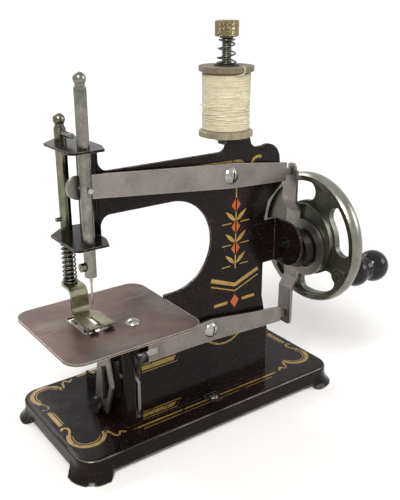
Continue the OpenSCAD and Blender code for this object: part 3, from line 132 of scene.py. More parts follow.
def spread(tree, value, low, high, out_low=0.0, out_high=1.0):
    """Maps value from low..high to out_low..out_high, held at the ends."""
    node = tree.nodes.new("ShaderNodeMapRange")
    node.clamp = True
    plug_all(tree, node, {"Value": value, "From Min": low, "From Max": high,
                          "To Min": out_low, "To Max": out_high})
    return node.outputs["Result"]


def noise(tree, scale, detail=4, roughness=0.55, stretch=EVEN, distortion=0.0):
    """Cloudy noise, scale cells to the metre."""
    node = tree.nodes.new("ShaderNodeTexNoise")
    plug_all(tree, node, {"Vector": coordinates(tree, stretch), "Scale": scale, "Detail": detail,
                          "Roughness": roughness, "Distortion": distortion})
    return node.outputs["Fac"]


def clouds(tree, scale, low, high, out=(0.0, 1.0), **character):
    """Noise of that scale, mapped from low..high to the two ends of out."""
    return spread(tree, noise(tree, scale, **character), low, high, *out)


def colour_mix(tree, factor, a, b):
    """Colour a where factor is 0 and b where it is 1; each is a colour or a socket."""
    node = tree.nodes.new("ShaderNodeMix")
    node.data_type = "RGBA"
    plug(tree, node.inputs["Factor"], factor)
    colour_a, colour_b = [socket for socket in node.inputs if socket.type == "RGBA"]
    plug(tree, colour_a, a)
    plug(tree, colour_b, b)
    return [socket for socket in node.outputs if socket.type == "RGBA"][0]


def value_mix(tree, factor, a, b):
    """Number a where factor is 0 and b where it is 1; each is a number or a socket."""
    node = tree.nodes.new("ShaderNodeMix")
    node.data_type = "FLOAT"
    plug_all(tree, node, {"Factor": factor, "A": a, "B": b})
    return node.outputs["Result"]


def overlay(tree, tone, colour, mask, strength):
    """tone with colour laid over it where mask is 1, as strongly as strength says."""
    return colour_mix(tree, combine(tree, "MULTIPLY", mask, strength), tone, colour)


def darker(colour, share):
    """The given share of a colour."""
    return tuple(share * part for part in colour)


# Samples of the nodes that look at the shape round a point
PROBES = 6


def edges(tree, radius):
    """1 on sharp edges, 0 on flat faces."""
    bevel = tree.nodes.new("ShaderNodeBevel")
    bevel.samples = PROBES
    plug(tree, bevel.inputs["Radius"], radius)
    surface = tree.nodes.new("ShaderNodeNewGeometry")
    agreement = vector_step(tree, "DOT_PRODUCT", bevel.outputs["Normal"], surface.outputs["Normal"])
    flat, sharp = 0.97, 0.72
    return spread(tree, agreement, flat, sharp)


def folds(tree):
    """1 on the shoulder of a rounded upper edge, where its face is neither upright nor level; 0 low down."""
    surface = tree.nodes.new("ShaderNodeNewGeometry")
    level_share = z_part(tree, surface.outputs["Normal"])
    upright, shoulder_low, shoulder_high, level = 0.5, 0.64, 0.78, 0.9
    feet_top, wear_from = 7 * MM, 9 * MM
    not_upright = spread(tree, level_share, upright, shoulder_low)
    not_level = spread(tree, level_share, level, shoulder_high)
    above_feet = spread(tree, z_part(tree, coordinates(tree)), feet_top, wear_from)
    return combine(tree, "MULTIPLY", combine(tree, "MULTIPLY", not_upright, not_level), above_feet)


def hollows(tree, reach):
    """1 deep in narrow slots, 0 in the open: an ambient-occlusion mask that says where shade is painted."""
    node = tree.nodes.new("ShaderNodeAmbientOcclusion")
    node.samples = PROBES
    plug(tree, node.inputs["Distance"], reach)
    in_open, in_slot = 0.8, 0.35
    return spread(tree, node.outputs["AO"], in_open, in_slot)


def bump(tree, height, strength, depth):
    """A shader's normal, for a height that stands depth metres proud where it is 1."""
    node = tree.nodes.new("ShaderNodeBump")
    plug_all(tree, node, {"Height": height, "Strength": strength, "Distance": depth})
    return node.outputs["Normal"]


# Materials, one function each

def enamel():
    """Black-brown gloss enamel, dusty, worn through to the metal on its edges and in small chips;
    lighter on the shoulders of its rounded upper edges, partly worn and partly a painted highlight.
    """
    material, tree, shader = new_material("stoved_enamel")
    black, brown = (0.0035, 0.0026, 0.0026), (0.0095, 0.0045, 0.0043)
    dust_colour, bare_and_highlight_colour = (0.10, 0.085, 0.065), (0.36, 0.33, 0.28)
    dust_strength, wear_and_highlight_strength, bare_roughness = 0.35, 0.8, 0.4
    paint = colour_mix(tree, clouds(tree, 45, 0.35, 0.7, detail=3), black, brown)
    dust = clouds(tree, 900, 0.6, 0.76, detail=2, roughness=0.7)
    paint = overlay(tree, paint, dust_colour, dust, dust_strength)
    broken_edge = clouds(tree, 260, 0.38, 0.58, roughness=0.65)
    edge_wear = combine(tree, "MULTIPLY", edges(tree, 0.8 * MM), broken_edge)
    # On the shoulders of rounded upper edges: partly worn enamel, partly a painted highlight
    broken_fold = clouds(tree, 55, 0.4, 0.7, out=(0.08, 0.5), detail=3, roughness=0.6)
    fold_wear_and_highlight = combine(tree, "MULTIPLY", folds(tree), broken_fold)
    wear_and_highlight = combine(tree, "MAXIMUM", edge_wear, fold_wear_and_highlight)
    chips = clouds(tree, 420, 0.745, 0.775, detail=5, roughness=0.7)
    bare_and_highlight = combine(tree, "MAXIMUM", combine(tree, "MULTIPLY", wear_and_highlight, wear_and_highlight_strength), chips)
    gloss = clouds(tree, 130, 0.3, 0.75, out=(0.09, 0.26), detail=5, roughness=0.65)
    plug_all(tree, shader, {
        "Base Color": colour_mix(tree, bare_and_highlight, paint, bare_and_highlight_colour),
        "Metallic": bare_and_highlight,
        "Roughness": value_mix(tree, bare_and_highlight, gloss, bare_roughness),
        "Specular IOR Level": 0.11,
        "Normal": bump(tree, noise(tree, 240, detail=3, roughness=0.5), 0.08, 0.4 * MM),
    })
    return material


def stained_steel():
    """Bare sheet of the cloth plate: grey-brown with stains, fine scratches, and bright edges that are partly
    worn and partly a painted highlight.
    """
    material, tree, shader = new_material("stained_sheet_steel")
    pale_brown, dark_brown, grey = (0.14, 0.092, 0.08), (0.07, 0.047, 0.041), (0.14, 0.132, 0.115)
    scratch_colour, edge_colour = (0.26, 0.23, 0.21), (0.56, 0.52, 0.47)
    grey_strength, scratch_strength, edge_roughness = 0.8, 0.5, 0.2
    stains = clouds(tree, 38, 0.38, 0.66, detail=5, roughness=0.6, distortion=0.8)
    tone = colour_mix(tree, stains, pale_brown, dark_brown)
    grey_patches = clouds(tree, 24, 0.52, 0.7, stretch=(1, 1.6, 1))
    tone = overlay(tree, tone, grey, grey_patches, grey_strength)
    scratches = clouds(tree, 260, 0.66, 0.74, detail=2, roughness=0.5, stretch=(0.12, 4, 1), distortion=1.2)
    tone = overlay(tree, tone, scratch_colour, scratches, scratch_strength)
    # Brighter edges: partly worn steel, partly a painted highlight
    bright = edges(tree, 0.8 * MM)
    dullness = clouds(tree, 90, 0.3, 0.7, out=(0.3, 0.46), detail=5, roughness=0.65)
    plug_all(tree, shader, {
        "Base Color": colour_mix(tree, bright, tone, edge_colour),
        "Metallic": 1.0,
        "Roughness": value_mix(tree, bright, dullness, edge_roughness),
        "Normal": bump(tree, noise(tree, 300, detail=3, roughness=0.6), 0.05, 0.3 * MM),
    })
    return material


def bare_metal(name, light, dark, rough, grain_scale, grain_stretch=EVEN, edge=None, specks=0.0):
    """Bare or plated metal: two cloudy tones, fine grain, dark specks as strong as specks, painted shade in
    its slots, and brighter edges if edge is a colour, partly worn metal and partly a painted highlight."""
    material, tree, shader = new_material(name)
    grain_tone, speck_tone, slot_shade_tone = darker(dark, 0.55), darker(dark, 0.3), darker(dark, 0.08)
    edge_roughness = 0.2
    tone = colour_mix(tree, clouds(tree, 85, 0.35, 0.68, detail=5, roughness=0.65), light, dark)
    grain = noise(tree, grain_scale, detail=3, roughness=0.6, stretch=grain_stretch)
    tone = colour_mix(tree, spread(tree, grain, 0.3, 0.75, 0.0, 0.35), tone, grain_tone)
    if specks:
        tone = overlay(tree, tone, speck_tone, clouds(tree, 620, 0.64, 0.72, roughness=0.7), specks)
    roughness = spread(tree, grain, 0.25, 0.75, rough - 0.07, rough + 0.09)
    # Brighter edges: partly worn metal, partly a painted highlight
    if edge:
        bright = edges(tree, 0.4 * MM)
        tone = colour_mix(tree, bright, tone, edge)
        roughness = value_mix(tree, bright, roughness, edge_roughness)
    # Painted shade: darker deep in slots and narrow recesses, where the occlusion mask is high
    tone = colour_mix(tree, hollows(tree, 1.6 * MM), tone, slot_shade_tone)
    plug_all(tree, shader, {
        "Base Color": tone,
        "Metallic": 1.0,
        "Roughness": roughness,
        "Normal": bump(tree, grain, 0.08, 0.2 * MM),
    })
    return material


def plated_wheel():
    """Nickel on a casting: bright polished rim, dull grey-green web and hub."""
    material, tree, shader = new_material("wheel_nickel")
    web_light, web_dark = (0.125, 0.127, 0.105), (0.06, 0.062, 0.05)
    rim_light, rim_dark = (0.25, 0.244, 0.214), (0.14, 0.139, 0.117)
    # Brighter edges: partly worn plating, partly a painted highlight
    edge_colour = (0.40, 0.39, 0.35)
    web_reach, rim_reach = 32.2 * MM, 33.8 * MM
    low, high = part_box("handwheel")
    axle = (low + high) / 2
    place = tree.nodes.new("ShaderNodeTexCoord")
    away = vector_step(tree, "SUBTRACT", place.outputs["Object"], (0, axle.y, axle.z))
    square_to_axle = vector_step(tree, "MULTIPLY", away, (0, 1, 1))
    rim = spread(tree, vector_step(tree, "LENGTH", square_to_axle), web_reach, rim_reach)
    cloud = clouds(tree, 70, 0.35, 0.7, detail=5, roughness=0.65)
    web_tone = colour_mix(tree, cloud, web_light, web_dark)
    rim_tone = colour_mix(tree, cloud, rim_light, rim_dark)
    tone = colour_mix(tree, rim, web_tone, rim_tone)
    grain = noise(tree, 420, roughness=0.65)
    web_roughness = spread(tree, grain, 0.25, 0.75, 0.34, 0.52)
    rim_roughness = spread(tree, grain, 0.25, 0.75, 0.2, 0.34)
    plug_all(tree, shader, {
        "Base Color": colour_mix(tree, edges(tree, 0.4 * MM), tone, edge_colour),
        "Metallic": 1.0,
        "Roughness": value_mix(tree, rim, web_roughness, rim_roughness),
        "Normal": bump(tree, grain, 0.1, 0.3 * MM),
    })
    return material


def black_knob():
    """Black gloss on the turned knob."""
    material, tree, shader = new_material("black_knob")
    black, soft_black = (0.006, 0.006, 0.007), (0.014, 0.012, 0.012)
    plug_all(tree, shader, {
        "Base Color": colour_mix(tree, clouds(tree, 120, 0.35, 0.7), black, soft_black),
        "Roughness": clouds(tree, 300, 0.3, 0.75, out=(0.08, 0.2), roughness=0.65),
        "Specular IOR Level": 0.2,
        "Normal": bump(tree, noise(tree, 260, detail=2), 0.03, 0.3 * MM),
    })
    return material


def spool_wood():
    """Greyed turned wood, darker on the upper flange, grain along the spool's axis, patches of grime, lighter
    on its rims.
    """
    material, tree, shader = new_material("spool_wood")
    lower_light, lower_dark = (0.25, 0.225, 0.14), (0.14, 0.122, 0.07)
    upper_light, upper_dark = (0.15, 0.122, 0.066), (0.075, 0.06, 0.032)
    grime_colour, edge_colour = (0.095, 0.09, 0.06), (0.29, 0.26, 0.165)
    grime_strength, edge_strength = 0.6, 0.6
    grain = noise(tree, 420, detail=5, roughness=0.65, stretch=(1, 1, 0.12), distortion=0.6)
    figure = spread(tree, grain, 0.3, 0.72)
    lower = colour_mix(tree, figure, lower_light, lower_dark)
    upper = colour_mix(tree, figure, upper_light, upper_dark)
    low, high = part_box("spool")
    height = z_part(tree, coordinates(tree))
    tone = colour_mix(tree, spread(tree, height, low.z, high.z), lower, upper)
    grime = clouds(tree, 110, 0.5, 0.72, roughness=0.6)
    tone = overlay(tree, tone, grime_colour, grime, grime_strength)
    tone = overlay(tree, tone, edge_colour, edges(tree, 0.6 * MM), edge_strength)
    plug_all(tree, shader, {
        "Base Color": tone,
        "Roughness": spread(tree, grain, 0.3, 0.7, 0.48, 0.68),
        "Normal": bump(tree, grain, 0.3, 0.4 * MM),
    })
    return material


def cotton():
    """Cream sewing cotton: twisted fibres, a little uneven in tone, with painted shade between the turns."""
    material, tree, shader = new_material("cream_cotton")
    cream, dark_cream, shade_between_turns = (0.68, 0.63, 0.445), (0.53, 0.475, 0.315), (0.19, 0.155, 0.085)
    # Painted shade between the turns, where the occlusion mask finds narrow gaps
    shade_between_strength = 0.9
    cloud = clouds(tree, 160, 0.32, 0.7, roughness=0.6, stretch=(1, 1, 2.2))
    tone = colour_mix(tree, cloud, cream, dark_cream)
    fibres = noise(tree, 2600, detail=3, roughness=0.7, stretch=(1, 1, 2.5))
    plug_all(tree, shader, {
        "Base Color": overlay(tree, tone, shade_between_turns, hollows(tree, 1.0 * MM), shade_between_strength),
        "Roughness": 0.72,
        "Sheen Weight": 0.25,
        "Sheen Roughness": 0.5,
        "Normal": bump(tree, fibres, 0.35, 0.2 * MM),
    })
    return material


def gilt(name, light, dark, lost):
    """Transfer paint, rubbed away to the enamel under it where specks and patches pass lost."""
    material, tree, shader = new_material(name)
    enamel_under = (0.014, 0.007, 0.006)
    speck_share, patch_share, rub_edge = 0.6, 0.4, 0.07
    tone = colour_mix(tree, clouds(tree, 190, 0.35, 0.7, roughness=0.6), light, dark)
    specks = combine(tree, "MULTIPLY", noise(tree, 520, detail=5, roughness=0.75), speck_share)
    patches = combine(tree, "MULTIPLY", noise(tree, 80, detail=3), patch_share)
    rubbed = spread(tree, combine(tree, "ADD", specks, patches), lost, lost + rub_edge)
    plug_all(tree, shader, {
        "Base Color": colour_mix(tree, rubbed, tone, enamel_under),
        "Metallic": 0.35,
        "Roughness": clouds(tree, 300, 0.3, 0.7, out=(0.3, 0.45), detail=3),
    })
    return material


PALE_EDGE = (0.56, 0.53, 0.48)
ALONG_BAR = (1, 1, 0.3)
ALONG_NEEDLE = (1, 1, 0.2)
METAL_LOOKS = {
    "lever_steel": dict(light=(0.25, 0.226, 0.212), dark=(0.165, 0.15, 0.14), rough=0.4,
                        grain_scale=950, edge=PALE_EDGE, specks=0.55),
    "screw_steel": dict(light=(0.44, 0.44, 0.405), dark=(0.26, 0.26, 0.235), rough=0.24,
                        grain_scale=700, edge=PALE_EDGE),
    "bar_nickel": dict(light=(0.245, 0.232, 0.212), dark=(0.095, 0.092, 0.08), rough=0.23,
                       grain_scale=520, grain_stretch=ALONG_BAR, edge=(0.47, 0.46, 0.41), specks=0.45),
    "needle_steel": dict(light=(0.42, 0.41, 0.38), dark=(0.28, 0.27, 0.25), rough=0.22,
                         grain_scale=900, grain_stretch=ALONG_NEEDLE),
    "pin_steel": dict(light=(0.17, 0.165, 0.142), dark=(0.07, 0.07, 0.06), rough=0.36, grain_scale=700),
    "spring_wire": dict(light=(0.15, 0.15, 0.132), dark=(0.06, 0.06, 0.053), rough=0.3, grain_scale=700),
    "dull_brass": dict(light=(0.245, 0.212, 0.122), dark=(0.12, 0.103, 0.055), rough=0.4,
                       grain_scale=900, edge=(0.38, 0.33, 0.18)),
    "worn_brass_plate": dict(light=(0.37, 0.35, 0.24), dark=(0.2, 0.192, 0.125), rough=0.26,
                             grain_scale=520, edge=(0.5, 0.48, 0.35), specks=0.5),
    "tarnished_nickel": dict(light=(0.19, 0.185, 0.138), dark=(0.07, 0.07, 0.047), rough=0.25,
                             grain_scale=520, grain_stretch=ALONG_BAR, edge=(0.36, 0.35, 0.27), specks=0.6),
    "dark_steel": dict(light=(0.11, 0.105, 0.095), dark=(0.05, 0.046, 0.042), rough=0.34,
                       grain_scale=700, edge=(0.30, 0.28, 0.25)),
}
METALS = {name: bare_metal(name, **look) for name, look in METAL_LOOKS.items()}
# By the part's material slots
MATERIALS = {
    "enamel": enamel(),
    "tinplate": stained_steel(),
    "lever_steel": METALS["lever_steel"],
    "screw_steel": METALS["screw_steel"],
    "bar_nickel": METALS["bar_nickel"],
    "needle_steel": METALS["needle_steel"],
    "pin_steel": METALS["pin_steel"],
    "spring_wire": METALS["spring_wire"],
    "wheel_nickel": plated_wheel(),
    "brass": METALS["dull_brass"],
    "knob_black": black_knob(),
    "spool_wood": spool_wood(),
    "thread": cotton(),
}
# Nodes that look unlike the rest of their slot
NODE_LOOKS = {
    "base_screws": MATERIALS["enamel"],
    "needle_bar_pin": METALS["screw_steel"],
    "needle_clamp_screw": METALS["tarnished_nickel"],
    "presser_bar": METALS["tarnished_nickel"],
    "presser_foot": METALS["worn_brass_plate"],
    "eccentric": METALS["dark_steel"],
    "shaft_bearing": METALS["dark_steel"],
    "looper_bearing": METALS["dark_steel"],
    "looper_shaft": METALS["dark_steel"],
    "main_shaft": METALS["dark_steel"],
}
GOLD = gilt("gold_transfer", light=(0.36, 0.225, 0.055), dark=(0.25, 0.15, 0.033), lost=0.6)
GOLD_WORN = gilt("gold_transfer_worn", light=(0.29, 0.19, 0.048), dark=(0.18, 0.115, 0.028), lost=0.525)
ORANGE = gilt("orange_transfer", light=(0.44, 0.09, 0.018), dark=(0.34, 0.065, 0.013), lost=0.62)

for subpart in frame["record"]["subparts"]:
    node_name = subpart["node"]
    finishes = nodes[node_name].data.materials
    finishes.clear()
    finishes.append(NODE_LOOKS.get(node_name, MATERIALS[subpart["material_slot"]]))


# Mesh helpers

def piece(name, vertices, faces, material, body, smooth=True):
    """A new mesh piece that rides on a CAD body."""
    mesh = bpy.data.meshes.new(name)
    mesh.from_pydata([tuple(v) for v in vertices], [], faces)
    mesh.update()
    work = bmesh.new()
    work.from_mesh(mesh)
    bmesh.ops.recalc_face_normals(work, faces=work.faces)
    work.to_mesh(mesh)
    work.free()
    for face in mesh.polygons:
        face.use_smooth = smooth
    obj = bpy.data.objects.new(name, mesh)
    bpy.context.scene.collection.objects.link(obj)
    obj.data.materials.append(material)
    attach(obj, body)
    return obj


def polar(middle, radius, angle, z):
    """A place round the upright axis through middle."""
    return (middle.x + radius * math.cos(angle), middle.y + radius * math.sin(angle), z)


def middle_and_radius(low, high):
    """The middle of a round upright piece's box, and the piece's radius."""
    return (low + high) / 2, (high.x - low.x) / 2


def flowing_curve(points, steps=8):
    """A Catmull-Rom curve through points, with that many steps between each two."""
    curve = []
    last = len(points) - 1
    for i in range(last):
        before, here = points[max(0, i - 1)], points[i]
        there, after = points[i + 1], points[min(last, i + 2)]
        for k in range(steps):
            t = k / steps
            curve.append(tuple(
                0.5 * (2 * b + (c - a) * t + (2 * a - 5 * b + 4 * c - d) * t * t
                       + (3 * b - a - 3 * c + d) * t * t * t)
                for a, b, c, d in zip(before, here, there, after)))
    curve.append(points[last])
    return curve


def skin(rings, sides):
    """Faces between rings of vertices, each with that many sides, and over both ends."""
    faces = []
    for i in range(rings - 1):
        for k in range(sides):
            a, b = i * sides + k, i * sides + (k + 1) % sides
            faces.append((a, b, b + sides, a + sides))
    faces.append(tuple(reversed(range(sides))))
    faces.append(tuple(range((rings - 1) * sides, rings * sides)))
    return faces


def tube(path, radius, sides):
    """Vertices and faces of one round tube along a path, its ends closed."""
    path = [Vector(p) for p in path]
    last = len(path) - 1
    vertices = []
    side = None
    for i, place in enumerate(path):
        ahead = (path[min(last, i + 1)] - path[max(0, i - 1)]).normalized()
        if side is None:
            side = ahead.orthogonal().normalized()
        side = (side - ahead * side.dot(ahead)).normalized()
        other = ahead.cross(side)
        for k in range(sides):
            angle = TURN * k / sides
            vertices.append(place + radius * (math.cos(angle) * side + math.sin(angle) * other))
    return vertices, skin(len(path), sides)


def lathe(middle, rows, sides):
    """Vertices and faces of a turned piece; rows are (z, function of the angle giving the radius)."""
    vertices = []
    for z, radius in rows:
        for k in range(sides):
            angle = TURN * k / sides
            vertices.append(polar(middle, radius(angle), angle, z))
    return vertices, skin(len(rows), sides)


def join(parts):
    """Several (vertices, faces) pairs as one."""
    vertices, faces = [], []
    for more_vertices, more_faces in parts:
        start = len(vertices)
        vertices += more_vertices
        faces += [tuple(start + i for i in face) for face in more_faces]
    return vertices, faces


# Springs, wound finer than the CAD coils and in their place

# Points on one turn of a coil or a strand, sides of the wire, and the angle where a coil starts, in radians
RINGS = 40
WIRE_SIDES = 10
COIL_START = 0.4
# Turns that lie flat at each end of a spring, and how much its pitch eases off towards them
FLAT_TURNS = 0.75
EASED = 0.15
# The rod that each spring stands round
SPRING_RODS = {"tension_spring": "spool_pin", "presser_spring": "presser_bar"}


def coil_path(middle, low, high, radius_low, radius_high, curls):
    """A coil between two heights and two radii, flat at its ends as ground spring ends are."""
    path = []
    for i in range(int((curls + 2 * FLAT_TURNS) * RINGS) + 1):
        turn = i / RINGS
        climb = min(1.0, max(0.0, (turn - FLAT_TURNS) / curls))
        ease = climb * climb * (3 - 2 * climb) * EASED + climb * (1 - EASED)
        radius = radius_low + (radius_high - radius_low) * ease
        path.append(polar(middle, radius, COIL_START + TURN * turn, low + (high - low) * ease))
    return path


def spring(name, node, wire, radius_low, radius_high, curls, body):
    """A coil of that wire thickness that stands for a CAD spring."""
    low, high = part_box(node)
    rod_low, rod_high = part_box(SPRING_RODS[node])
    middle = (rod_low + rod_high) / 2
    path = coil_path(middle, low.z + wire / 2, high.z - wire / 2, radius_low, radius_high, curls)
    vertices, faces = tube(path, wire / 2, WIRE_SIDES)
    made = piece(name, vertices, faces, MATERIALS["spring_wire"], body)
    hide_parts(node)
    return made


spring("tension_coil", "tension_spring", wire=0.9 * MM, radius_low=4.65 * MM, radius_high=3.75 * MM,
       curls=2.6, body="frame")
presser_coil = spring("presser_coil", "presser_spring", wire=0.9 * MM, radius_low=3.05 * MM,
                      radius_high=3.05 * MM, curls=11.2, body="frame")
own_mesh(presser_coil)


# Spool, thread, threaded pin and thumb nut

# The strand's radius, and how deep the winding's core lies under its outside
STRAND = 0.24 * MM
STRAND_SIDES = 6
CORE_DEPTH = 1.9 * STRAND
# How far the winding sinks in its slack lower part, and that part's share of the height
SLACK = 0.22 * MM
SLACK_SHARE = 0.62
# The level turns: height of one turn, how far it strays in millimetres, how many strand radii it stands off
TURN_PITCH = 1.94 * STRAND
TURN_STRAY = 0.10
STAND_OFF = 0.75
# The looser turns: their number, the length of each in turns, and the share of the height where they lie
CROSSINGS = 15
CROSSING_TURNS = 1.15
CROSSING_FIRST, CROSSING_RANGE = 0.06, 0.56
# How far they lean in millimetres, the step in phase from one to the next, and how fast they rise at the ends
CROSSING_LEAN = (0.6, 2.6)
CROSSING_PHASE = 0.6
CROSSING_RISE = 6
THREAD_SEED = 7
# Where the thread's end is caught and where a loop stands loose, in degrees round the spool
CAUGHT_END = -91
LOOSE_LOOP = -208
# The loop's share of the thread's height
LOOP_HEIGHT = 0.34


def wound_thread():
    """Cream cotton on the spool: level turns, looser turns across its lower half, a caught end and a loop."""
    low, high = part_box("thread_winding")
    middle, radius = middle_and_radius(low, high)
    height = high.z - low.z
    core = radius - CORE_DEPTH
    rng = random.Random(THREAD_SEED)

    def barrel(z):
        """Radius of the winding under the outer turns."""
        share = (z - low.z) / height
        return core - SLACK * math.sin(math.pi * min(1.0, max(0.0, share / SLACK_SHARE)))

    def held(z):
        """A strand's height, kept between the spool's flanges."""
        return min(high.z - STRAND, max(low.z + STRAND, z))

    def level_turns():
        """The path of the level turns, from the lower flange to the upper one."""
        count = int((height - 2 * STRAND) / TURN_PITCH)
        stray = [rng.uniform(-TURN_STRAY, TURN_STRAY) * MM for _ in range(count + 2)]
        path = []
        for i in range(count * RINGS + 1):
            turn = i / RINGS
            k = int(turn)
            drift = stray[k] + (stray[k + 1] - stray[k]) * (turn - k)
            z = held(low.z + STRAND + TURN_PITCH * turn + drift)
            path.append(polar(middle, barrel(z) + STAND_OFF * STRAND, TURN * turn, z))
        return path

    def crossing_turn(n):
        """The path of looser turn n, which rises over the level ones and dips under at its ends."""
        centre = low.z + height * (CROSSING_FIRST + CROSSING_RANGE * n / (CROSSINGS - 1))
        lean = rng.uniform(*CROSSING_LEAN) * MM * rng.choice((-1, 1))
        start = rng.uniform(0, TURN)
        path = []
        for i in range(int(CROSSING_TURNS * RINGS) + 1):
            turn = i / RINGS
            z = held(centre + lean * math.sin(TURN * turn + CROSSING_PHASE * n))
            rise = max(0.0, min(1.0, CROSSING_RISE * turn, CROSSING_RISE * (CROSSING_TURNS - turn)))
            r = min(barrel(z) + (STAND_OFF + rise) * STRAND, radius - STRAND)
            path.append(polar(middle, r, start + TURN * turn, z))
        return path

    def loose_strand(stations):
        """A path through stations of degrees round the spool, radius and height."""
        return flowing_curve([polar(middle, r, math.radians(degrees), z) for degrees, r, z in stations])

    spool_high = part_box("spool")[1]
    rim = spool_high.x - middle.x + STRAND
    top = spool_high.z + STRAND
    caught_end = [
        (CAUGHT_END - 40, core + STRAND, high.z - 1.6 * MM),
        (CAUGHT_END - 12, core + 2 * STRAND, high.z - STRAND),
        (CAUGHT_END, rim, high.z + 0.7 * MM),
        (CAUGHT_END + 2, rim, top - 0.5 * MM),
        (CAUGHT_END + 4, rim - 1.2 * MM, top),
        (CAUGHT_END + 12, rim - 3.2 * MM, top),
    ]
    level = low.z + LOOP_HEIGHT * height
    loose_loop = [
        (LOOSE_LOOP + 25, core, level - 0.6 * MM),
        (LOOSE_LOOP + 9, radius + 0.5 * MM, level - 0.4 * MM),
        (LOOSE_LOOP, radius + 1.5 * MM, level + 0.6 * MM),
        (LOOSE_LOOP - 7, radius + 0.9 * MM, level + 2.0 * MM),
        (LOOSE_LOOP - 20, core, level + 2.4 * MM),
    ]
    strands = [level_turns()]
    strands += [crossing_turn(n) for n in range(CROSSINGS)]
    strands += [loose_strand(caught_end), loose_strand(loose_loop)]
    core_levels, core_sides = 40, 64
    core_heights = [low.z + height * k / core_levels for k in range(core_levels + 1)]
    parts = [lathe(middle, [(z, lambda angle, r=barrel(z): r) for z in core_heights], core_sides)]
    parts += [tube(path, STRAND, STRAND_SIDES) for path in strands]
    vertices, faces = join(parts)
    made = piece("wound_thread", vertices, faces, MATERIALS["thread"], "spool")
    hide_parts("thread_winding")


def threaded_pin():
    """The spool pin with the ridges of its screw thread."""
    low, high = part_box("spool_pin")
    middle, radius = middle_and_radius(low, high)
    pitch, depth = 1.0 * MM, 0.34 * MM
    rows_per_ridge, sides = 6, 32
    count = int((high.z - low.z) / (pitch / rows_per_ridge))
    rows = []
    for i in range(count + 1):
        z = low.z + (high.z - low.z) * i / count

        def ridge(angle, z=z):
            phase = (z / pitch - angle / TURN) % 1.0
            return radius - depth * (0.5 + 0.5 * math.cos(TURN * phase))

        rows.append((z, ridge))
    vertices, faces = lathe(middle, rows, sides)
    made = piece("threaded_pin", vertices, faces, MATERIALS["pin_steel"], "frame")
    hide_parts("spool_pin")


def knurled_nut():
    """The thumb nut: a short neck under a rim with a diamond knurl and a bevel at both ends."""
    low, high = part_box("thumb_nut")
    middle, radius = middle_and_radius(low, high)
    neck_radius, neck_height = 3.4 * MM, 0.8 * MM
    neck_bevel, neck_bevel_height = 0.3 * MM, 0.2 * MM
    bevel = 0.45 * MM
    cuts, depth, slant = 36, 0.36 * MM, 1.05
    levels, sides = 30, 264
    knurl_low, knurl_high = low.z + neck_height, high.z

    def neck(angle):
        return neck_radius

    def rim_end(angle):
        return radius - bevel - depth

    rows = [(low.z, lambda angle: neck_radius - neck_bevel), (low.z + neck_bevel_height, neck),
            (knurl_low, neck), (knurl_low, rim_end)]
    for i in range(levels + 1):
        z = knurl_low + bevel + (knurl_high - knurl_low - 2 * bevel) * i / levels

        def diamond(angle, z=z):
            lean = (z - knurl_low) / radius * slant
            one = abs(((angle + lean) * cuts / TURN) % 1.0 - 0.5) * 2
            two = abs(((angle - lean) * cuts / TURN) % 1.0 - 0.5) * 2
            return radius - depth * (1 - min(one, two))

        rows.append((z, diamond))
    rows.append((knurl_high, rim_end))
    vertices, faces = lathe(middle, rows, sides)
    made = piece("knurled_nut", vertices, faces, MATERIALS["brass"], "thumb_nut", smooth=False)
    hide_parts("thumb_nut")


wound_thread()
threaded_pin()
knurled_nut()


# Painted transfers, drawn in millimetres from the part's working corner

# How far paint stands proud of the enamel, and reaches into it
DECAL = 0.03


def base_place(x, y, lift):
    """A place on the base's top."""
    return CORNER + Vector((x, y, lift)) * MM


def plate_place(x, z, lift):
    """A place on the front of the frame plate."""
    return CORNER + Vector((x, -lift, z)) * MM


def arc(cx, cy, radius, start, end, steps):
    """Points on part of a circle, between two angles in degrees."""
    angles = [math.radians(start + (end - start) * k / steps) for k in range(steps + 1)]
    return [(cx + radius * math.cos(angle), cy + radius * math.sin(angle)) for angle in angles]


def ribbon(points, width):
    """The outline of a line of even width along points."""
    left, right = [], []
    last = len(points) - 1
    for i, (x, y) in enumerate(points):
        ax, ay = points[min(last, i + 1)]
        bx, by = points[max(0, i - 1)]
        run = math.hypot(ax - bx, ay - by)
        nx, ny = -(ay - by) / run, (ax - bx) / run
        left.append((x + nx * width / 2, y + ny * width / 2))
        right.append((x - nx * width / 2, y - ny * width / 2))
    return left + right[::-1]


def level_line(start, end, y, width):
    """The outline of a straight line from left to right."""
    return ribbon([(start, y), (end, y)], width)


def upright_line(x, start, end, width):
    """The outline of a straight line from below to above."""
    return ribbon([(x, start), (x, end)], width)


def lozenge(x, z, half_width, half_height):
    """A diamond round (x, z)."""
    return [(x - half_width, z), (x, z + half_height), (x + half_width, z), (x, z - half_height)]


def leaf(x, z, length, width, lean):
    """A slender pointed leaf from (x, z), leaning by lean degrees from upright."""
    steps, fullness = 8, 0.8
    along = (math.sin(math.radians(lean)), math.cos(math.radians(lean)))
    across = (along[1], -along[0])
    out_and_back = [(1, k) for k in range(steps + 1)] + [(-1, k) for k in range(steps - 1, 0, -1)]
    outline = []
    for side, k in out_and_back:
        t = k / steps
        w = side * width / 2 * math.sin(math.pi * t ** fullness)
        outline.append((x + along[0] * length * t + across[0] * w,
                        z + along[1] * length * t + across[1] * w))
    return outline


def transfer(name, outlines, place, material):
    """Flat painted shapes, a hair proud of the enamel."""
    vertices, faces = [], []
    for outline in outlines:
        start, count = len(vertices), len(outline)
        vertices += [place(x, y, DECAL) for x, y in outline]
        vertices += [place(x, y, -DECAL) for x, y in outline]
        faces.append(tuple(range(start, start + count)))
        faces.append(tuple(reversed(range(start + count, start + 2 * count))))
        for k in range(count):
            a, b = start + k, start + (k + 1) % count
            faces.append((a, b, b + count, a + count))
    piece(name, vertices, faces, material, "frame", smooth=False)


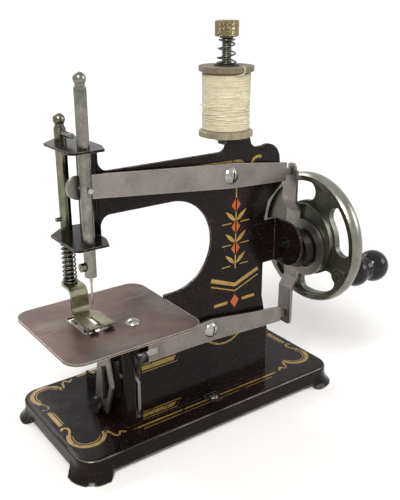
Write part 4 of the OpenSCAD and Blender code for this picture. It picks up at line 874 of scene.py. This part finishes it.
# The base's border: its middle in Y, then its lobes, tails and lines measured from that middle
BORDER_MIDDLE = 29.5
LOBE_X, LOBE_Y = 70.9, 23.0
LOBE_RADIUS, LOBE_START, LOBE_END = 9.1, 142, 352
FINE_LOBE_GAP, FINE_LOBE_START, FINE_LOBE_END = 2.2, 152, 338
FRONT_TAIL = [(-60.0, -27.0), (-59.0, -30.4), (-57.2, -32.0), (-55.0, -29.8), (-52.6, -31.9)]
SIDE_TAIL = [(-76.4, -14.4), (-76.2, -11.6), (-78.4, -10.2), (-79.8, -11.8)]
SIDE_LINE, SIDE_HALF = 78.0, 7.6
SIDE_FINE_GAP, SIDE_FINE_HALF = 2.0, 6.4
LONG_LINE, LONG_HALF = 32.3, 49.0
LONG_FINE_GAP, LONG_FINE_HALF = 2.7, 44.0
THICK, MEDIUM, THIN = 2.3, 1.3, 0.5


def corner_shapes():
    """One corner of the border, at -X and -Y: a round lobe open to the inside, a wavy tail at each end."""
    lobe = arc(-LOBE_X, -LOBE_Y, LOBE_RADIUS, LOBE_START, LOBE_END, steps=44)
    fine_lobe = arc(-LOBE_X, -LOBE_Y, LOBE_RADIUS - FINE_LOBE_GAP, FINE_LOBE_START, FINE_LOBE_END, steps=40)
    front_tail = flowing_curve([lobe[-1], *FRONT_TAIL])
    side_tail = flowing_curve([lobe[0], *SIDE_TAIL])
    return [ribbon(lobe, THICK), ribbon(fine_lobe, THIN),
            ribbon(front_tail, MEDIUM), ribbon(side_tail, MEDIUM)]


def base_border():
    """Four corners, and a thick line with a fine one along each side between them."""
    shapes = []
    for across in (1, -1):
        for along in (1, -1):
            for outline in corner_shapes():
                shapes.append([(across * x, BORDER_MIDDLE + along * y) for x, y in outline])
        side = across * SIDE_LINE
        fine_side = across * (SIDE_LINE - SIDE_FINE_GAP)
        shapes.append(upright_line(side, BORDER_MIDDLE - SIDE_HALF, BORDER_MIDDLE + SIDE_HALF, THICK))
        shapes.append(upright_line(fine_side, BORDER_MIDDLE - SIDE_FINE_HALF,
                                   BORDER_MIDDLE + SIDE_FINE_HALF, THIN))
        long_side = BORDER_MIDDLE + across * LONG_LINE
        fine_long_side = long_side + across * LONG_FINE_GAP
        shapes.append(level_line(-LONG_HALF, LONG_HALF, long_side, MEDIUM))
        shapes.append(level_line(-LONG_FINE_HALF, LONG_FINE_HALF, fine_long_side, THIN))
    transfer("base_border", shapes, base_place, GOLD_WORN)


# The sprig on the pillar: stem, leaves with a dash under each, lozenges, two chevrons, a lozenge between bars
STEM_X, STEM_LOW, STEM_HIGH, STEM_WIDTH = 19.0, 73.0, 117.5, 0.8
SPRIG_LEVELS = (80.0, 92.0, 104.0)
LEAF_OUT, LEAF_DROP = 0.5, 4.0
LEAF_LENGTH, LEAF_WIDTH, LEAF_LEAN = 8.5, 2.2, 48
DASH_START, DASH_END, DASH_DROP, DASH_WIDTH = 3.0, 9.0, 5.0, 0.55
LOZENGE_RISE = 4.6
LOZENGE_HALF = (2.9, 3.9)
CHEVRON_LEFT, CHEVRON_RIGHT, CHEVRON_TOP, CHEVRON_POINT = 3.0, 35.0, 69.5, 63.5
# Drop and width of each chevron
CHEVRONS = ((0.0, 2.2), (3.6, 0.7))
FOOT_LEVEL = 54.0
FOOT_BAR_START, FOOT_BAR_END, FOOT_BAR_WIDTH = 5.0, 14.0, 1.7


def pillar_ornament():
    """A plain sprig: an upright stem with leaves, lozenges between them, on two chevrons."""
    gold = [upright_line(STEM_X, STEM_LOW, STEM_HIGH, STEM_WIDTH)]
    orange = []
    for z in SPRIG_LEVELS:
        for s in (-1, 1):
            gold.append(leaf(STEM_X + LEAF_OUT * s, z - LEAF_DROP, LEAF_LENGTH, LEAF_WIDTH, LEAF_LEAN * s))
            gold.append(level_line(STEM_X + DASH_START * s, STEM_X + DASH_END * s, z - DASH_DROP, DASH_WIDTH))
        orange.append(lozenge(STEM_X, z + LOZENGE_RISE, *LOZENGE_HALF))
    for drop, width in CHEVRONS:
        ends, point = CHEVRON_TOP - drop, CHEVRON_POINT - drop
        gold.append(ribbon([(CHEVRON_LEFT, ends), (STEM_X, point), (CHEVRON_RIGHT, ends)], width))
    orange.append(lozenge(STEM_X, FOOT_LEVEL, *LOZENGE_HALF))
    for s in (-1, 1):
        gold.append(level_line(STEM_X + FOOT_BAR_START * s, STEM_X + FOOT_BAR_END * s, FOOT_LEVEL,
                               FOOT_BAR_WIDTH))
    transfer("pillar_gold", gold, plate_place, GOLD)
    transfer("pillar_orange", orange, plate_place, ORANGE)


# The bars on the frame plate: low and high edges of the two on the bed, their ends and slanted right side
BED_BARS = ((30.6, 33.2), (2.6, 4.8))
BED_BAR_LEFT, BED_BAR_RIGHT, BED_BAR_SLANT = -41.0, -21.5, 1.6
FINE_BELOW, FINE_ABOVE, FINE_WIDTH = 1.1, 1.0, 0.45
FINE_LOW_END, FINE_HIGH_END = 2.0, 4.4
ARM_BAR = [(-26.0, 127.6), (21.5, 128.6), (24.6, 129.9), (21.5, 132.3), (-8.6, 133.1), (-26.0, 131.0)]
ARM_SCROLL = dict(cx=33.0, cy=128.0, radius=4.4, start=60, end=175, steps=18)
ARM_SCROLL_WIDTH = 1.6
BED_SCROLL = [(1.2, 34.4), (8.5, 30.6), (16.0, 30.4), (23.5, 33.8)]
BED_SCROLL_WIDTH = 1.2


def plate_bars():
    """Gold bars with a fine outline on the bed, a long bar along the arm, and a scroll near each."""
    shapes = []
    left, right = BED_BAR_LEFT, BED_BAR_RIGHT
    for low, high in BED_BARS:
        shapes.append([(left, low), (right, low), (right + BED_BAR_SLANT, high), (left, high)])
        shapes.append(ribbon([(left, low - FINE_BELOW), (right + FINE_LOW_END, low - FINE_BELOW),
                              (right + FINE_HIGH_END, high + FINE_ABOVE), (left, high + FINE_ABOVE)],
                             FINE_WIDTH))
    shapes.append(ARM_BAR)
    shapes.append(ribbon(arc(**ARM_SCROLL), ARM_SCROLL_WIDTH))
    shapes.append(ribbon(flowing_curve(BED_SCROLL), BED_SCROLL_WIDTH))
    transfer("plate_bars", shapes, plate_place, GOLD_WORN)


base_border()
pillar_ornament()
plate_bars()


# Stage, light and camera

FLOOR_HALF = 24.0
# The floor glows from the first distance on, and fully from the second, so that it runs out to white
GLOW_START, GLOW_FULL, GLOW_STRENGTH = 0.15, 1.1, 0.65
WORLD_LIGHT, WORLD_SEEN = 0.42, 1.0
LIGHT_TARGET = (0, 0, 0.09)
# Name, place, width and height, power, colour
LIGHTS = (
    ("key", (-0.55, -0.55, 0.85), (0.34, 0.34), 12.0, (1.0, 0.98, 0.95)),
    ("fill", (0.75, -0.6, 0.5), (0.5, 0.4), 4.0, WHITE),
    ("back", (-0.1, 0.9, 0.8), (0.8, 0.4), 5.0, WHITE),
)
# The photograph's viewing angle, in degrees, and its lens on a sensor of that width, in millimetres
CAMERA_PLACE = (-0.20075, -0.2810, 0.2257)
CAMERA_AZIMUTH = -35.88
CAMERA_ELEVATION = 20.61
CAMERA_LENS = 50.06
SENSOR_WIDTH = 36.0
CLIP_START, CLIP_END = 0.01, 20.0


def seen(tree):
    """1 for rays that show the background, straight or in gloss and glass, and 0 for the rest."""
    path = tree.nodes.new("ShaderNodeLightPath")
    mirrored = combine(tree, "MAXIMUM", path.outputs["Is Glossy Ray"], path.outputs["Is Transmission Ray"])
    return combine(tree, "MAXIMUM", path.outputs["Is Camera Ray"], mirrored)


def pale_floor():
    """A pale floor that keeps the shadow near the object and runs out to white."""
    material, tree, shader = new_material("pale_floor")
    tone, light_tone = (0.82, 0.81, 0.80), (0.85, 0.84, 0.83)
    place = tree.nodes.new("ShaderNodeTexCoord")
    away = vector_step(tree, "LENGTH", place.outputs["Object"])
    glow = spread(tree, away, GLOW_START, GLOW_FULL, 0.0, GLOW_STRENGTH)
    plug_all(tree, shader, {
        "Base Color": colour_mix(tree, clouds(tree, 6, 0.3, 0.7, detail=3), tone, light_tone),
        "Roughness": 0.85,
        "Specular IOR Level": 0.1,
        "Emission Color": WHITE,
        "Emission Strength": combine(tree, "MULTIPLY", glow, seen(tree)),
    })
    corners = [(FLOOR_HALF * x, FLOOR_HALF * y, 0) for x, y in ((-1, -1), (1, -1), (1, 1), (-1, 1))]
    mesh = bpy.data.meshes.new("floor")
    mesh.from_pydata(corners, [], [(0, 1, 2, 3)])
    floor = bpy.data.objects.new("floor", mesh)
    bpy.context.scene.collection.objects.link(floor)
    floor.data.materials.append(material)


def studio_world():
    """Even pale light, seen as white behind the floor."""
    world = bpy.data.worlds.new("studio")
    bpy.context.scene.world = world
    world.use_nodes = True
    tree = world.node_tree
    strength = spread(tree, seen(tree), 0, 1, WORLD_LIGHT, WORLD_SEEN)
    plug_all(tree, tree.nodes["Background"], {"Color": WHITE, "Strength": strength})


def aimed(name, data, place, direction):
    """A light or camera at a place, looking along a direction."""
    obj = bpy.data.objects.new(name, data)
    obj.location = place
    obj.rotation_mode = "QUATERNION"
    obj.rotation_quaternion = direction.to_track_quat("-Z", "Y")
    bpy.context.scene.collection.objects.link(obj)
    return obj


def soft_light(name, place, size, power, colour):
    """A rectangular light that faces the object."""
    light = bpy.data.lights.new(name, "AREA")
    light.shape = "RECTANGLE"
    light.size, light.size_y = size
    light.energy = power
    light.color = colour
    aimed(name, light, place, Vector(LIGHT_TARGET) - Vector(place))


def camera():
    """The camera at the photograph's viewing angle, with everything sharp."""
    data = bpy.data.cameras.new("camera")
    data.lens = CAMERA_LENS
    data.sensor_width = SENSOR_WIDTH
    data.clip_start, data.clip_end = CLIP_START, CLIP_END
    data.dof.use_dof = False
    azimuth, elevation = math.radians(CAMERA_AZIMUTH), math.radians(CAMERA_ELEVATION)
    back = Vector((math.sin(azimuth) * math.cos(elevation), -math.cos(azimuth) * math.cos(elevation),
                   math.sin(elevation)))
    bpy.context.scene.camera = aimed("camera", data, CAMERA_PLACE, -back)


pale_floor()
studio_world()
for light_look in LIGHTS:
    soft_light(*light_look)
camera()
bpy.context.scene.view_settings.view_transform = "Standard"
